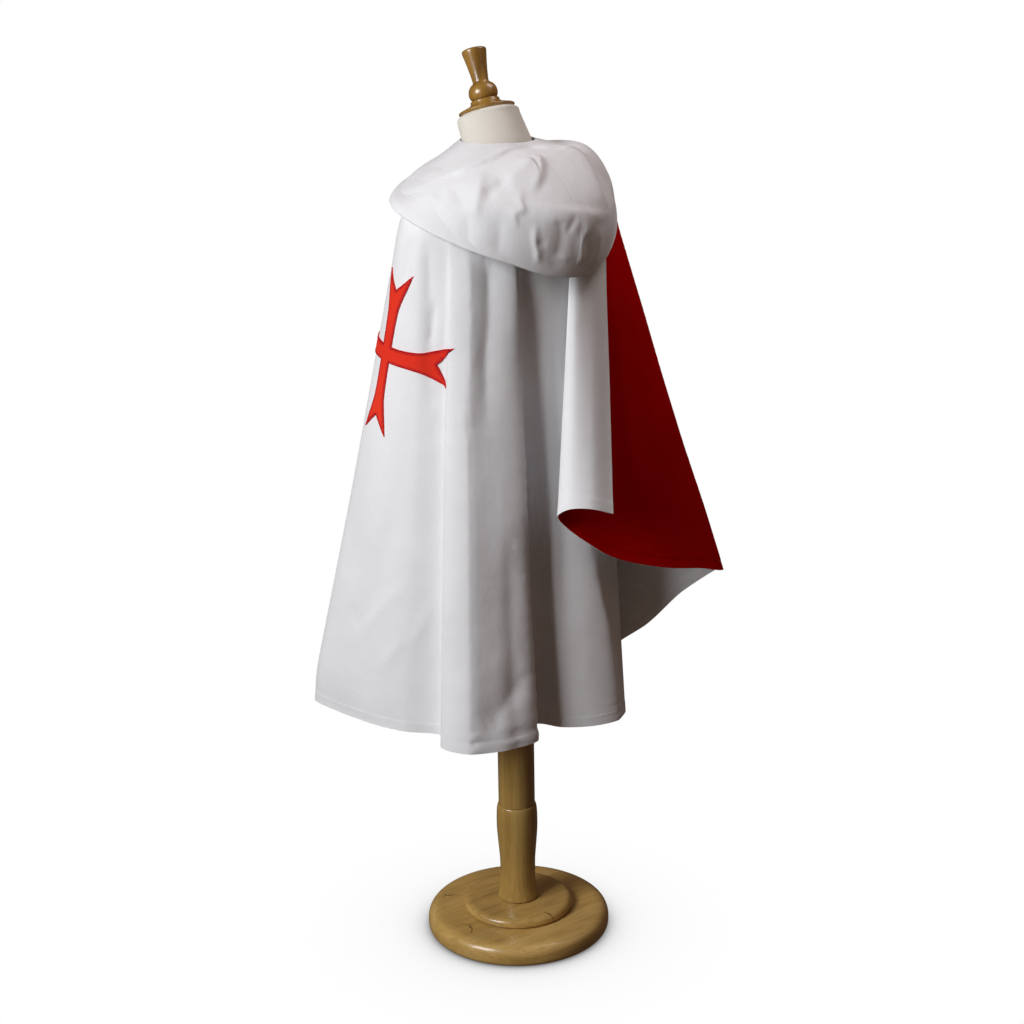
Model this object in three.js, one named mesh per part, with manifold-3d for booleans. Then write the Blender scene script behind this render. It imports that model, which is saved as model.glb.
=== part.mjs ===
// A child's hooded cape on a dress form, in millimetres, +Z up, standing on the floor at Z = 0.
// The wearer faces -Y and the wearer's left is +X, and the stand's axis is the Z axis.
// The cape hangs over the left side and the back, and its right front is thrown back over the
// right shoulder: it folds at a standing tip with its lining out, and its free edge rolls over again.
// Angles round the form are in degrees from the centre back (+Y) towards the wearer's left (+X).
import * as THREE from "three";
import Module from "manifold-3d";

// Driving sizes
const CLOTH = 1.4; // outer cloth
const LINING = 1; // lining cloth
const HOOD_CLOTH = 1.6; // hood, cloth and self lining together
const SEAM_GAP = 0.3;
const HEM_HEIGHT = 356;
const NECKLINE_HEIGHT = 1114;
const SHOULDER_HEIGHT = 1047;
const SHOULDER_HALF_WIDTH = 153;
const NECK_TILT = 20; // degrees, forward
const NECK_TOP = new THREE.Vector3(0, -40, 1166);
const ROUND = 36; // sides of a turned piece

// Colours
const WHITE_CLOTH = { color: 0xe9e9ee, roughness: 0.9, metalness: 0 };
const RED_CLOTH = { color: 0x7c0204, roughness: 0.95, metalness: 0 };
const CROSS_COLOUR = { color: 0xe23a26, roughness: 0.85, metalness: 0 };
const FORM_CLOTH = { color: 0xdcd7ce, roughness: 0.9, metalness: 0 };
const WOOD = { color: 0xa8834a, roughness: 0.35, metalness: 0 };
const DARK_WOOD = { color: 0x9a6a2f, roughness: 0.3, metalness: 0 };

const part = new THREE.Group();
const wasm = await Module();
wasm.setup();

function addPiece(name, geometry, look) {
  const piece = new THREE.Mesh(geometry, new THREE.MeshStandardMaterial(look));
  piece.name = name;
  part.add(piece);
  return piece;
}

const radians = (degrees) => (degrees * Math.PI) / 180;

// A point on an oval round the Z axis: its half width, its half depth behind and in front.
function onOval(degrees, oval, height) {
  const turn = radians(degrees);
  const depth = Math.cos(turn) > 0 ? oval.back : oval.front;
  return new THREE.Vector3(
    oval.half * Math.sin(turn),
    oval.shift + depth * Math.cos(turn),
    height,
  );
}

// A point at a distance from the Z axis.
function polar(degrees, radius, height) {
  const turn = radians(degrees);
  return new THREE.Vector3(radius * Math.sin(turn), radius * Math.cos(turn), height);
}

// ---- Cloth surfaces

// Turns rows of control points into a smooth surface. place(across, down) takes both from 0 to 1:
// across runs along the rows, and down runs through each row's points.
function clothSurface(rows) {
  const levels = rows[0].map((_, k) =>
    new THREE.CatmullRomCurve3(rows.map((row) => row[k]), false, "centripetal"));
  return (across, down) =>
    new THREE.CatmullRomCurve3(
      levels.map((level) => level.getPoint(across)), false, "centripetal").getPoint(down);
}

// A cloth: a grid of points on the surface through some rows, as columns[i][j], with i across and
// j down, and the way out at each point. Every row is a column, with as many steps between two.
function clothThrough(rows, stepsBetween, downSteps) {
  const surface = clothSurface(rows);
  const grid = steps(0, 1, (rows.length - 1) * stepsBetween).map((across) =>
    downSteps.map((down) => surface(across, down)));
  const lastI = grid.length - 1;
  const lastJ = downSteps.length - 1;
  const normals = grid.map((column, i) => column.map((_, j) => {
    const alongAcross = grid[Math.min(i + 1, lastI)][j].clone().sub(grid[Math.max(i - 1, 0)][j]);
    const alongDown = column[Math.min(j + 1, lastJ)].clone().sub(column[Math.max(j - 1, 0)]);
    return alongDown.cross(alongAcross).normalize();
  }));
  return { grid, normals, stepsBetween };
}

// One panel of a cloth, from row to row, drawn back from the seams at its sides. It is moved out
// by a distance.
function panelOf(cloth, firstRow, endRow, distance) {
  const first = firstRow * cloth.stepsBetween;
  const end = endRow * cloth.stepsBetween;
  const columns = cloth.grid.slice(first, end + 1).map((column, i) => column.map((point, j) =>
    point.clone().addScaledVector(cloth.normals[first + i][j], distance)));
  if (first > 0) drawBack(columns[0], columns[1]);
  if (end < cloth.grid.length - 1) drawBack(columns.at(-1), columns.at(-2));
  return columns;
}

function drawBack(edge, next) {
  edge.forEach((point, j) => {
    const step = next[j].clone().sub(point);
    point.addScaledVector(step.normalize(), SEAM_GAP / 2);
  });
}

function panelWall(cloth, firstRow, endRow, from, to) {
  return wallBetween(
    panelOf(cloth, firstRow, endRow, from), panelOf(cloth, firstRow, endRow, to));
}

// The closed wall between two grids of the same size.
function wallBetween(outer, inner) {
  const countI = outer.length;
  const countJ = outer[0].length;
  const positions = [...outer.flat(), ...inner.flat()].flatMap((p) => [p.x, p.y, p.z]);
  const out = (i, j) => i * countJ + j;
  const inn = (i, j) => countI * countJ + i * countJ + j;
  const faces = [];
  const quad = (a, b, c, d) => faces.push(a, b, c, a, c, d);
  for (let i = 0; i < countI - 1; i++) {
    for (let j = 0; j < countJ - 1; j++) {
      quad(out(i, j), out(i, j + 1), out(i + 1, j + 1), out(i + 1, j));
      quad(inn(i, j), inn(i + 1, j), inn(i + 1, j + 1), inn(i, j + 1));
    }
    quad(out(i, 0), out(i + 1, 0), inn(i + 1, 0), inn(i, 0));
    quad(out(i, countJ - 1), inn(i, countJ - 1), inn(i + 1, countJ - 1), out(i + 1, countJ - 1));
  }
  for (let j = 0; j < countJ - 1; j++) {
    quad(out(0, j), inn(0, j), inn(0, j + 1), out(0, j + 1));
    quad(out(countI - 1, j), out(countI - 1, j + 1), inn(countI - 1, j + 1), inn(countI - 1, j));
  }
  return closedGeometry(positions, faces);
}

// A geometry whose faces point out, whichever way round they were listed.
function closedGeometry(positions, faces) {
  let volume = 0;
  const corner = (k) => new THREE.Vector3().fromArray(positions, faces[k] * 3);
  for (let k = 0; k < faces.length; k += 3)
    volume += corner(k).dot(corner(k + 1).cross(corner(k + 2)));
  if (volume < 0)
    for (let k = 0; k < faces.length; k += 3)
      [faces[k + 1], faces[k + 2]] = [faces[k + 2], faces[k + 1]];
  const geometry = new THREE.BufferGeometry();
  geometry.setAttribute("position", new THREE.Float32BufferAttribute(positions, 3));
  geometry.setIndex(faces);
  return geometry;
}

// Even steps from one share to another.
const steps = (from, to, count) =>
  Array.from({ length: count + 1 }, (_, k) => from + ((to - from) * k) / count);

// ---- Cape

// The cape's level lines over the neck and shoulders.
const NECKLINE = { half: 56, back: 54, front: 54, shift: -19 };
const SLOPE = { half: 104, back: 74, front: 74, shift: -3 };
const SLOPE_HEIGHT = 1093;
const YOKE = { half: 133, back: 83, front: 80, shift: -1 };
const YOKE_HEIGHT = 1074;
const SHOULDERS = { half: SHOULDER_HALF_WIDTH, back: 90, front: 92, shift: 0 };

// One row for each turn of the hem, from the left front edge round the back: where its line
// starts on the neckline and on the shoulders (degrees), and where it meets the hem.
const BODY_TURNS = [
  { neck: 176, shoulder: 177, hem: 176, out: 188 }, // left front edge
  { neck: 168, shoulder: 167, hem: 166, out: 216 },
  { neck: 158, shoulder: 154, hem: 155, out: 206 },
  { neck: 147, shoulder: 141, hem: 141, out: 262 },
  { neck: 134, shoulder: 127, hem: 127, out: 288 }, // left front corner
  { neck: 117, shoulder: 110, hem: 116, out: 256 },
  { neck: 101, shoulder: 93, hem: 104, out: 225 },
  { neck: 84, shoulder: 75, hem: 89, out: 193 },
  { neck: 66, shoulder: 57, hem: 73, out: 164 },
  { neck: 62, shoulder: 53, hem: 64.5, out: 196 }, // left seam, on the edge of a fold
  { neck: 54, shoulder: 43, hem: 50, out: 197 },
  { neck: 44, shoulder: 31, hem: 36, out: 182 },
  { neck: 35, shoulder: 21, hem: 25, out: 155 }, // edge of the great back fold
  { neck: 31, shoulder: 17, hem: 28, out: 113 },
  { neck: 24, shoulder: 11, hem: 18, out: 106 },
  { neck: 13, shoulder: 2, hem: 5, out: 129 },
  { neck: 0, shoulder: -9, hem: -8, out: 150 },
  { neck: -16, shoulder: -24, hem: -21, out: 163 },
  { neck: -28, shoulder: -37, hem: -33, out: 163 },
  { neck: -42, shoulder: -50, hem: -48, out: 138 }, // right seam
];

// The right front goes on round: the cloth before the standing tip lies outer side out, then its
// lining is out as far as the roll, and past the roll it is outer side out again to the free edge.
// Each line runs from the neckline over points in front of the shoulder, on its crest, behind it
// and at the shoulder blade, down to the hem.
const FLAP_TURNS = [
  { neck: -56, front: [-88, 10, 1100], crest: [-117, 26, 1072], yoke: [-122, 44, 1034],
    blade: [-122, 54, 985], hem: -69, out: 127, low: 362 },
  { neck: -68, front: [-92, -2, 1099], crest: [-127, 18, 1071], yoke: [-130, 40, 1036],
    blade: [-127, 54, 992], hem: -73, out: 150, low: 408 },
  { neck: -78, front: [-95, -12, 1096], crest: [-135, 8, 1069], yoke: [-137, 32, 1038],
    blade: [-132, 52, 998], hem: -63, out: 192, low: 452 },
  { neck: -86, front: [-97, -19, 1092], crest: [-140, 0, 1067], yoke: [-141, 24, 1040],
    blade: [-136, 48, 1003], hem: -61, out: 238, low: 497 },
  { neck: -93, front: [-99, -25, 1089], crest: [-144, -6, 1066], yoke: [-145, 18, 1043],
    blade: [-143, 47, 1008], hem: -57, out: 287, low: 537 }, // standing tip
  { neck: -98, front: [-104, -40, 1080], crest: [-142, -8, 1079], yoke: [-144, 25, 1053],
    blade: [-141, 55, 1010], hem: -54, out: 288, low: 539 },
  { neck: -106, front: [-96, -46, 1088], crest: [-134, 4, 1085], yoke: [-134, 42, 1060],
    blade: [-126, 67, 1006], hem: -48, out: 257, low: 552 },
  { neck: -116, front: [-90, -51, 1093], crest: [-121, 9, 1092], yoke: [-116, 56, 1066],
    blade: [-106, 80, 996], hem: -38, out: 214, low: 565 },
  { neck: -128, front: [-86, -56, 1098], crest: [-107, 11, 1100], yoke: [-90, 69, 1070],
    blade: [-76, 94, 984], hem: -17, out: 167, low: 595 },
  { neck: -138, front: [-82, -60, 1101], crest: [-95, 12, 1105], yoke: [-66, 78, 1073],
    blade: [-48, 101, 976], hem: -2, out: 155, low: 625 },
  { neck: -146, front: [-79, -64, 1103], crest: [-87, 11, 1108], yoke: [-50, 83, 1073],
    blade: [-28, 103, 970], hem: 9, out: 153, low: 650 },
  { neck: -152, front: [-78, -70, 1107], crest: [-82, 6, 1113.5], yoke: [-42, 89, 1074],
    blade: [-18, 109, 966], hem: 15.5, out: 167, low: 671 }, // roll
  { neck: -158, front: [-84, -78, 1104], crest: [-88, 1, 1118.5], yoke: [-50, 95, 1074],
    blade: [-24, 115, 967], hem: 13, out: 189, low: 686 },
  { neck: -167, front: [-94, -88, 1084], crest: [-107, -6, 1112], yoke: [-74, 90, 1069],
    blade: [-52, 112, 974], hem: 6.5, out: 203, low: 687 },
  { neck: -176, front: [-103, -94, 1054], crest: [-131, -10, 1101], yoke: [-104, 81, 1063],
    blade: [-87, 98, 986], hem: -2.5, out: 209, low: 676 }, // right front edge
];

const BLADE_SHARE = 0.12; // how far below the shoulders the cloth hangs free
const BLADE_FULLNESS = 3;
const MIDDLE_SHARE = 0.55;

function bodyRow(turn) {
  const shoulder = onOval(turn.shoulder, SHOULDERS, SHOULDER_HEIGHT);
  const hem = polar(turn.hem, turn.out, HEM_HEIGHT);
  const blade = shoulder.clone().lerp(hem, BLADE_SHARE);
  blade.addScaledVector(new THREE.Vector3(shoulder.x, shoulder.y, 0).normalize(), BLADE_FULLNESS);
  return [
    onOval(turn.neck, NECKLINE, NECKLINE_HEIGHT),
    onOval((turn.neck + turn.shoulder) / 2, SLOPE, SLOPE_HEIGHT),
    onOval(turn.shoulder, YOKE, YOKE_HEIGHT),
    shoulder,
    blade,
    shoulder.clone().lerp(hem, MIDDLE_SHARE),
    hem,
  ];
}

function flapRow(turn) {
  const blade = new THREE.Vector3(...turn.blade);
  const hem = polar(turn.hem, turn.out, turn.low);
  return [
    onOval(turn.neck, NECKLINE, NECKLINE_HEIGHT),
    new THREE.Vector3(...turn.front),
    new THREE.Vector3(...turn.crest),
    new THREE.Vector3(...turn.yoke),
    blade,
    blade.clone().lerp(hem, 0.5),
    hem,
  ];
}

const LEFT_SEAM_ROW = 9;
const RIGHT_SEAM_ROW = 19;
const LAST_ROW = BODY_TURNS.length + FLAP_TURNS.length - 1;
const SHOULDER_SHARE = 4 / 6; // the share of a row's points that lies over the shoulders
const CAPE_STEPS = [...steps(0, SHOULDER_SHARE, 8), ...steps(SHOULDER_SHARE, 1, 6).slice(1)];
const cape = clothThrough([...BODY_TURNS.map(bodyRow), ...FLAP_TURNS.map(flapRow)], 2, CAPE_STEPS);

addPiece("cape_left_front", panelWall(cape, 0, LEFT_SEAM_ROW, 0, -CLOTH), WHITE_CLOTH);
addPiece("cape_back", panelWall(cape, LEFT_SEAM_ROW, RIGHT_SEAM_ROW, 0, -CLOTH), WHITE_CLOTH);
addPiece("cape_right_front", panelWall(cape, RIGHT_SEAM_ROW, LAST_ROW, 0, -CLOTH), WHITE_CLOTH);
const LINING_DEPTH = CLOTH + SEAM_GAP;
addPiece("lining_right_front",
  panelWall(cape, RIGHT_SEAM_ROW, LAST_ROW, -LINING_DEPTH, -LINING_DEPTH - LINING), RED_CLOTH);

// ---- Cross

// The applied cross, flat: an arm is as wide as the others from the middle out, then it flares to
// two points with a notch between them. Each section has its distance from the middle, the half
// width of the arm and, past the notch's root, how far its inner edge is from the arm's axis.
const ARM_SECTIONS = [
  { along: 11, half: 11, innerAlong: 0, inner: 0 },
  { along: 28, half: 11, innerAlong: 28, inner: 0 },
  { along: 45, half: 11.5, innerAlong: 45, inner: 0 },
  { along: 62, half: 13, innerAlong: 62, inner: 0 },
  { along: 78, half: 17.5, innerAlong: 84, inner: 0 }, // root of the notch
  { along: 92, half: 22, innerAlong: 95, inner: 11 },
];
const ARM_TIP = { along: 110, half: 27 };
const CROSS_COLUMN = 11; // the columns and levels of the cape's grid at the middle of the cross
const CROSS_LEVEL = 9;
const CROSS_DROP = 8;
const CROSS_TURN = 4; // degrees, the arm at the back lower
const CROSS_LEAN = 0.05; // how far the foot of the cross leans to the front
const CROSS_THICKNESS = 1.2;
const CROSS_REACH = 6; // how deep the flat cross is cut through the cloth's form
const FACINGS = [0, 90, 180, 270];

// A place between the points of one panel's grid, moved out.
function onGrid(cloth, column, level, distance) {
  const i = Math.min(Math.floor(column), cloth.grid.length - 2);
  const j = Math.min(Math.floor(level), cloth.grid[0].length - 2);
  const mix = (grid) => {
    const near = grid[i][j].clone().lerp(grid[i][j + 1], level - j);
    const far = grid[i + 1][j].clone().lerp(grid[i + 1][j + 1], level - j);
    return near.lerp(far, column - i);
  };
  return mix(cloth.grid).addScaledVector(mix(cloth.normals).normalize(), distance);
}

// Walks along the grid from one place: how far the column or level moves for a distance on it.
function walk(placeAt, start, distance) {
  const stride = distance > 0 ? 0.05 : -0.05;
  let share = start;
  let gone = 0;
  while (gone < Math.abs(distance)) {
    const step = placeAt(share + stride).distanceTo(placeAt(share));
    const portion = Math.min(1, (Math.abs(distance) - gone) / step);
    share += stride * portion;
    gone += step;
  }
  return share;
}

// Puts a point of the flat cross on the panel: right is towards the back, and down is down.
function onPanel(right, down, distance) {
  const level = walk((j) => onGrid(cape, CROSS_COLUMN, j, 0), CROSS_LEVEL, CROSS_DROP + down);
  const column = walk((i) => onGrid(cape, i, level, 0), CROSS_COLUMN, right - CROSS_LEAN * down);
  return onGrid(cape, column, level, distance);
}

// The closed wall over flat triangles, where place(right, down, distance) puts a point on a panel.
function appliedWall(flat, faces, place, from, to) {
  const count = flat.length;
  const positions = [to, from].flatMap((distance) =>
    flat.flatMap(([right, down]) => place(right, down, distance).toArray()));
  const all = [];
  const edges = new Map();
  for (const [a, b, c] of faces) {
    all.push(a, b, c, a + count, c + count, b + count);
    for (const [start, end] of [[a, b], [b, c], [c, a]]) edges.set(`${start} ${end}`, [start, end]);
  }
  for (const [start, end] of edges.values())
    if (!edges.has(`${end} ${start}`))
      all.push(start, start + count, end + count, start, end + count, end);
  return closedGeometry(positions, all);
}

function crossFlat() {
  const flat = [];
  const faces = [];
  const places = new Map();
  const turnedPoint = (facing, along, side) => {
    const turn = radians(facing + CROSS_TURN);
    const right = along * Math.cos(turn) - side * Math.sin(turn);
    const down = along * Math.sin(turn) + side * Math.cos(turn);
    const key = `${right.toFixed(2)} ${down.toFixed(2)}`.replaceAll("-0.00", "0.00");
    if (!places.has(key)) places.set(key, flat.push([right, down]) - 1);
    return places.get(key);
  };
  const face = (a, b, c, side) => faces.push(side > 0 ? [a, b, c] : [a, c, b]);
  for (const facing of FACINGS)
    for (const side of [1, -1]) {
      const outer = ARM_SECTIONS.map((section) =>
        turnedPoint(facing, section.along, side * section.half));
      const inner = ARM_SECTIONS.map((section) =>
        turnedPoint(facing, section.innerAlong, side * section.inner));
      for (let k = 0; k < ARM_SECTIONS.length - 1; k++) {
        face(inner[k], inner[k + 1], outer[k + 1], side);
        face(inner[k], outer[k + 1], outer[k], side);
      }
      const tip = turnedPoint(facing, ARM_TIP.along, side * ARM_TIP.half);
      face(inner.at(-1), tip, outer.at(-1), side);
    }
  return { flat, faces };
}

function solidOf(geometry) {
  return new wasm.Manifold(new wasm.Mesh({
    numProp: 3,
    vertProperties: geometry.attributes.position.array,
    triVerts: new Uint32Array(geometry.index.array),
  }));
}

function geometryOf(solid) {
  const mesh = solid.getMesh();
  const geometry = new THREE.BufferGeometry();
  geometry.setAttribute("position", new THREE.Float32BufferAttribute(mesh.vertProperties, 3));
  geometry.setIndex([...mesh.triVerts]);
  return geometry;
}

// The cross is the part of a layer on the cape that its flat outline takes.
const cross = crossFlat();
const outlineThrough = appliedWall(cross.flat, cross.faces, onPanel, -CROSS_REACH, CROSS_REACH);
const layer = panelWall(
  cape, 1, LEFT_SEAM_ROW + 2, SEAM_GAP, SEAM_GAP + CROSS_THICKNESS);
addPiece("cross", geometryOf(solidOf(outlineThrough).intersect(solidOf(layer))), CROSS_COLOUR);

// ---- Hood

// The hood lies down on the back. One row for each turn from the left closure round the back,
// as angle, radius and height: the bag's underside near the neck and where it lies on the cape, its
// rim, the top of its fullness, and the line where the band at its mouth turns over.
const HOOD_TURNS = [
  { turn: 172, under: [172, 80, 1110], lie: [172, 88, 1104], rim: [172, 95, 1101],
    top: [172, 88, 1110], band: [172, 76, 1118] },
  { turn: 150, under: [150, 88, 1105], lie: [150, 102, 1096], rim: [150, 113, 1090],
    top: [150, 102, 1104], band: [150, 84, 1117] },
  { turn: 125, under: [125, 98, 1102], lie: [124, 122, 1087], rim: [122, 143, 1073],
    top: [124, 121, 1094], band: [125, 93, 1110] },
  { turn: 100, under: [100, 108, 1100], lie: [98, 138, 1078], rim: [96, 166, 1062],
    top: [100, 138, 1081], band: [102, 104, 1102] },
  { turn: 80, under: [80, 108, 1100], lie: [78, 143, 1074], rim: [76, 165, 1043],
    top: [80, 141, 1079], band: [84, 104, 1102] },
  { turn: 58, under: [58, 101, 1100], lie: [56, 134, 1066], rim: [54, 156, 1018],
    top: [56, 143, 1076], band: [62, 98, 1110] },
  { turn: 36, under: [36, 92, 1100], lie: [35, 122, 1060], rim: [34, 145, 998],
    top: [34, 145, 1064], band: [38, 90, 1114] },
  { turn: 18, under: [18, 87, 1100], lie: [17, 117, 1056], rim: [17, 139, 982],
    top: [16, 147, 1054], band: [18, 84, 1118] },
  { turn: 0, under: [0, 90, 1101], lie: [0, 120, 1053], rim: [0, 137, 974],
    top: [-1, 150, 1050], band: [0, 82, 1120] },
  { turn: -18, under: [-18, 96, 1103], lie: [-18, 123, 1056], rim: [-17, 138, 976],
    top: [-18, 150, 1050], band: [-20, 86, 1121] },
  { turn: -36, under: [-36, 102, 1106], lie: [-36, 127, 1064], rim: [-34, 141, 992],
    top: [-36, 146, 1058], band: [-40, 94, 1122] },
  { turn: -58, under: [-58, 108, 1114], lie: [-58, 135, 1078], rim: [-57, 145, 1020],
    top: [-58, 140, 1074], band: [-62, 101, 1117] },
  { turn: -80, under: [-80, 111, 1121], lie: [-79, 139, 1090], rim: [-78, 153, 1056],
    top: [-80, 139, 1092], band: [-84, 105, 1119] },
  { turn: -100, under: [-100, 111, 1121], lie: [-100, 138, 1101], rim: [-98, 157, 1080],
    top: [-100, 138, 1107], band: [-102, 106, 1122] },
  { turn: -125, under: [-125, 102, 1117], lie: [-125, 122, 1108], rim: [-124, 138, 1098],
    top: [-125, 120, 1113], band: [-125, 96, 1122] },
  { turn: -150, under: [-150, 86, 1119], lie: [-150, 104, 1112], rim: [-150, 118, 1104],
    top: [-150, 104, 1116], band: [-150, 86, 1123] },
  { turn: -172, under: [-172, 74, 1118], lie: [-172, 88, 1110], rim: [-172, 98, 1105],
    top: [-172, 90, 1114], band: [-172, 78, 1122] },
];
const HOOD_SEAM = { half: 56, back: 54, front: 54, shift: -19 };
const HOOD_SEAM_HEIGHT = NECKLINE_HEIGHT + 0.7;
const HOOD_MOUTH = { half: 55, back: 53, front: 52, shift: -20 };
const HOOD_MOUTH_HEIGHT = 1127;
const RIM_SHARE = 0.15;
const RIM_ROLL = 3; // how far the cloth rises within its rim

function hoodRow(turn) {
  const lie = polar(...turn.lie);
  const rim = polar(...turn.rim);
  const inside = rim.clone().lerp(lie, RIM_SHARE);
  inside.z += RIM_ROLL;
  return [
    onOval(turn.turn, HOOD_SEAM, HOOD_SEAM_HEIGHT),
    polar(...turn.under),
    lie,
    inside,
    rim,
    polar(...turn.top),
    polar(...turn.band),
    onOval(turn.turn, HOOD_MOUTH, HOOD_MOUTH_HEIGHT),
  ];
}

const HOOD_STEPS = steps(0, 1, 14);
const HOOD_CENTRE_ROW = 8;
const hood = clothThrough(HOOD_TURNS.map(hoodRow), 2, HOOD_STEPS);
addPiece("hood_left", panelWall(hood, 0, HOOD_CENTRE_ROW, 0, HOOD_CLOTH), WHITE_CLOTH);
addPiece("hood_right",
  panelWall(hood, HOOD_CENTRE_ROW, HOOD_TURNS.length - 1, 0, HOOD_CLOTH), WHITE_CLOTH);

// ---- Neck tab

// A plain tab inside the neckline joins the two fronts at the throat.
const TAB_HALF_TURN = 24;
const TAB_TOP = 1112;
const TAB_BOTTOM = 1102;
const TAB_DEPTH = LINING_DEPTH + LINING + SEAM_GAP;
const TAB_CLOTH = 1.4;

function tabGrid(depth) {
  const oval = { ...NECKLINE, half: NECKLINE.half - depth, front: NECKLINE.front - depth };
  return steps(180 - TAB_HALF_TURN, 180 + TAB_HALF_TURN, 8).map((turn) =>
    steps(TAB_TOP, TAB_BOTTOM, 2).map((height) => onOval(turn, oval, height)));
}
addPiece("neck_tab", wallBetween(tabGrid(TAB_DEPTH), tabGrid(TAB_DEPTH + TAB_CLOTH)), WHITE_CLOTH);

// ---- Form and stand

// One row for each level of the padded torso: half width, half depth and how far it sits back.
const TORSO = [
  { height: 560, half: 120, depth: 88, shift: 0 },
  { height: 640, half: 122, depth: 89, shift: 0 },
  { height: 720, half: 115, depth: 86, shift: 0 },
  { height: 800, half: 108, depth: 81, shift: 0 },
  { height: 880, half: 118, depth: 84, shift: 0 },
  { height: 950, half: 126, depth: 83, shift: 0 },
  { height: 1000, half: 131, depth: 80, shift: 0 },
  { height: 1035, half: 134, depth: 75, shift: 0 },
  { height: 1060, half: 124, depth: 70, shift: -2 },
  { height: 1078, half: 111, depth: 66, shift: -4 },
  { height: 1092, half: 88, depth: 59, shift: -9 },
  { height: 1103, half: 66, depth: 52, shift: -14 },
  { height: 1112, half: 50, depth: 48, shift: -18 },
  { height: 1128, half: 46, depth: 47, shift: -19 },
];
const NECK_RADIUS = 41.5;

// A closed body through rings of points, with flat ends.
function loft(rings) {
  const count = rings[0].length;
  const positions = rings.flat().flatMap((p) => [p.x, p.y, p.z]);
  const faces = [];
  for (let k = 0; k < rings.length - 1; k++)
    for (let i = 0; i < count; i++) {
      const next = (i + 1) % count;
      const a = k * count + i;
      const b = k * count + next;
      faces.push(a, b, b + count, a, b + count, a + count);
    }
  for (const [ring, flip] of [[0, true], [rings.length - 1, false]]) {
    const centre = positions.length / 3;
    const middle = rings[ring].reduce((sum, p) => sum.add(p), new THREE.Vector3());
    positions.push(...middle.divideScalar(count).toArray());
    for (let i = 0; i < count; i++) {
      const a = ring * count + i;
      const b = ring * count + ((i + 1) % count);
      faces.push(...(flip ? [centre, b, a] : [centre, a, b]));
    }
  }
  return closedGeometry(positions, faces);
}

const TORSO_SIDES = 40;
const tilt = new THREE.Quaternion().setFromAxisAngle(
  new THREE.Vector3(1, 0, 0), radians(NECK_TILT));

function torsoRings() {
  const turns = steps(0, 360, TORSO_SIDES).slice(0, -1);
  const rings = TORSO.map((level) => turns.map((turn) =>
    onOval(turn, { half: level.half, back: level.depth, front: level.depth, shift: level.shift },
      level.height)));
  const neckTop = turns.map((turn) =>
    polar(turn, NECK_RADIUS, 0).applyQuaternion(tilt).add(NECK_TOP));
  return [...rings, neckTop];
}
addPiece("form_torso", loft(torsoRings()), FORM_CLOTH);

// A turned piece: radius and height pairs from the axis round to the axis again.
function turned(profile) {
  const geometry = new THREE.LatheGeometry(
    profile.map(([radius, height]) => new THREE.Vector2(radius, height)), ROUND);
  geometry.rotateX(Math.PI / 2);
  return geometry;
}

const BASE_RADIUS = 131;
const BASE_THICKNESS = 30;
const STEP_RADIUS = 78.5;
const STEP_TOP = 44;
const FIT = 0.3;
addPiece("base_disc", turned([
  [0, 0], [BASE_RADIUS - 4, 0], [BASE_RADIUS, 4], [BASE_RADIUS, BASE_THICKNESS - 13],
  [BASE_RADIUS - 3, BASE_THICKNESS - 6], [BASE_RADIUS - 9, BASE_THICKNESS - 1.5],
  [BASE_RADIUS - 16, BASE_THICKNESS], [0, BASE_THICKNESS],
]), WOOD);
addPiece("base_step", turned([
  [0, BASE_THICKNESS + FIT], [STEP_RADIUS - 3, BASE_THICKNESS + FIT],
  [STEP_RADIUS, BASE_THICKNESS + 3], [STEP_RADIUS - 0.5, STEP_TOP - 5],
  [STEP_RADIUS - 4, STEP_TOP - 1.5], [STEP_RADIUS - 9, STEP_TOP], [0, STEP_TOP],
]), WOOD);
addPiece("post_foot", turned([
  [0, STEP_TOP + FIT], [29.5, STEP_TOP + FIT], [28.5, 50], [26, 62], [25, 80], [25.4, 105],
  [27.5, 130], [29.2, 152], [29.4, 170], [28.8, 184], [27.6, 190], [26.3, 192], [0, 192],
]), WOOD);
addPiece("post", turned([
  [0, 192 + FIT], [26, 192 + FIT], [26, TORSO[0].height - FIT], [0, TORSO[0].height - FIT],
]), WOOD);

const neckFittings = new THREE.Group();
neckFittings.position.copy(NECK_TOP);
neckFittings.quaternion.copy(tilt);
part.add(neckFittings);
const neckCap = addPiece("neck_cap", turned([
  [0, FIT], [37, FIT], [37.4, 2], [36, 4], [30, 6.5], [23, 9], [19.5, 12], [19, 16], [0, 16],
]), DARK_WOOD);
const neckKnob = addPiece("neck_knob", turned([
  [0, 16 + FIT], [15, 16 + FIT], [18, 19], [19.4, 24], [18.8, 30], [15.5, 35.5], [11.5, 38],
  [10.4, 40], [11.8, 53], [14, 67], [16.2, 79], [16.4, 81.5], [14.5, 83.5], [8, 84.7], [0, 85],
]), DARK_WOOD);
neckFittings.add(neckCap, neckKnob);

export default part;
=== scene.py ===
# A child's hooded cape on a dress form: the cloth, the applied cross, the form and its stand.
import math

import bpy
import numpy as np
from mathutils import Matrix, Vector


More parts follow.
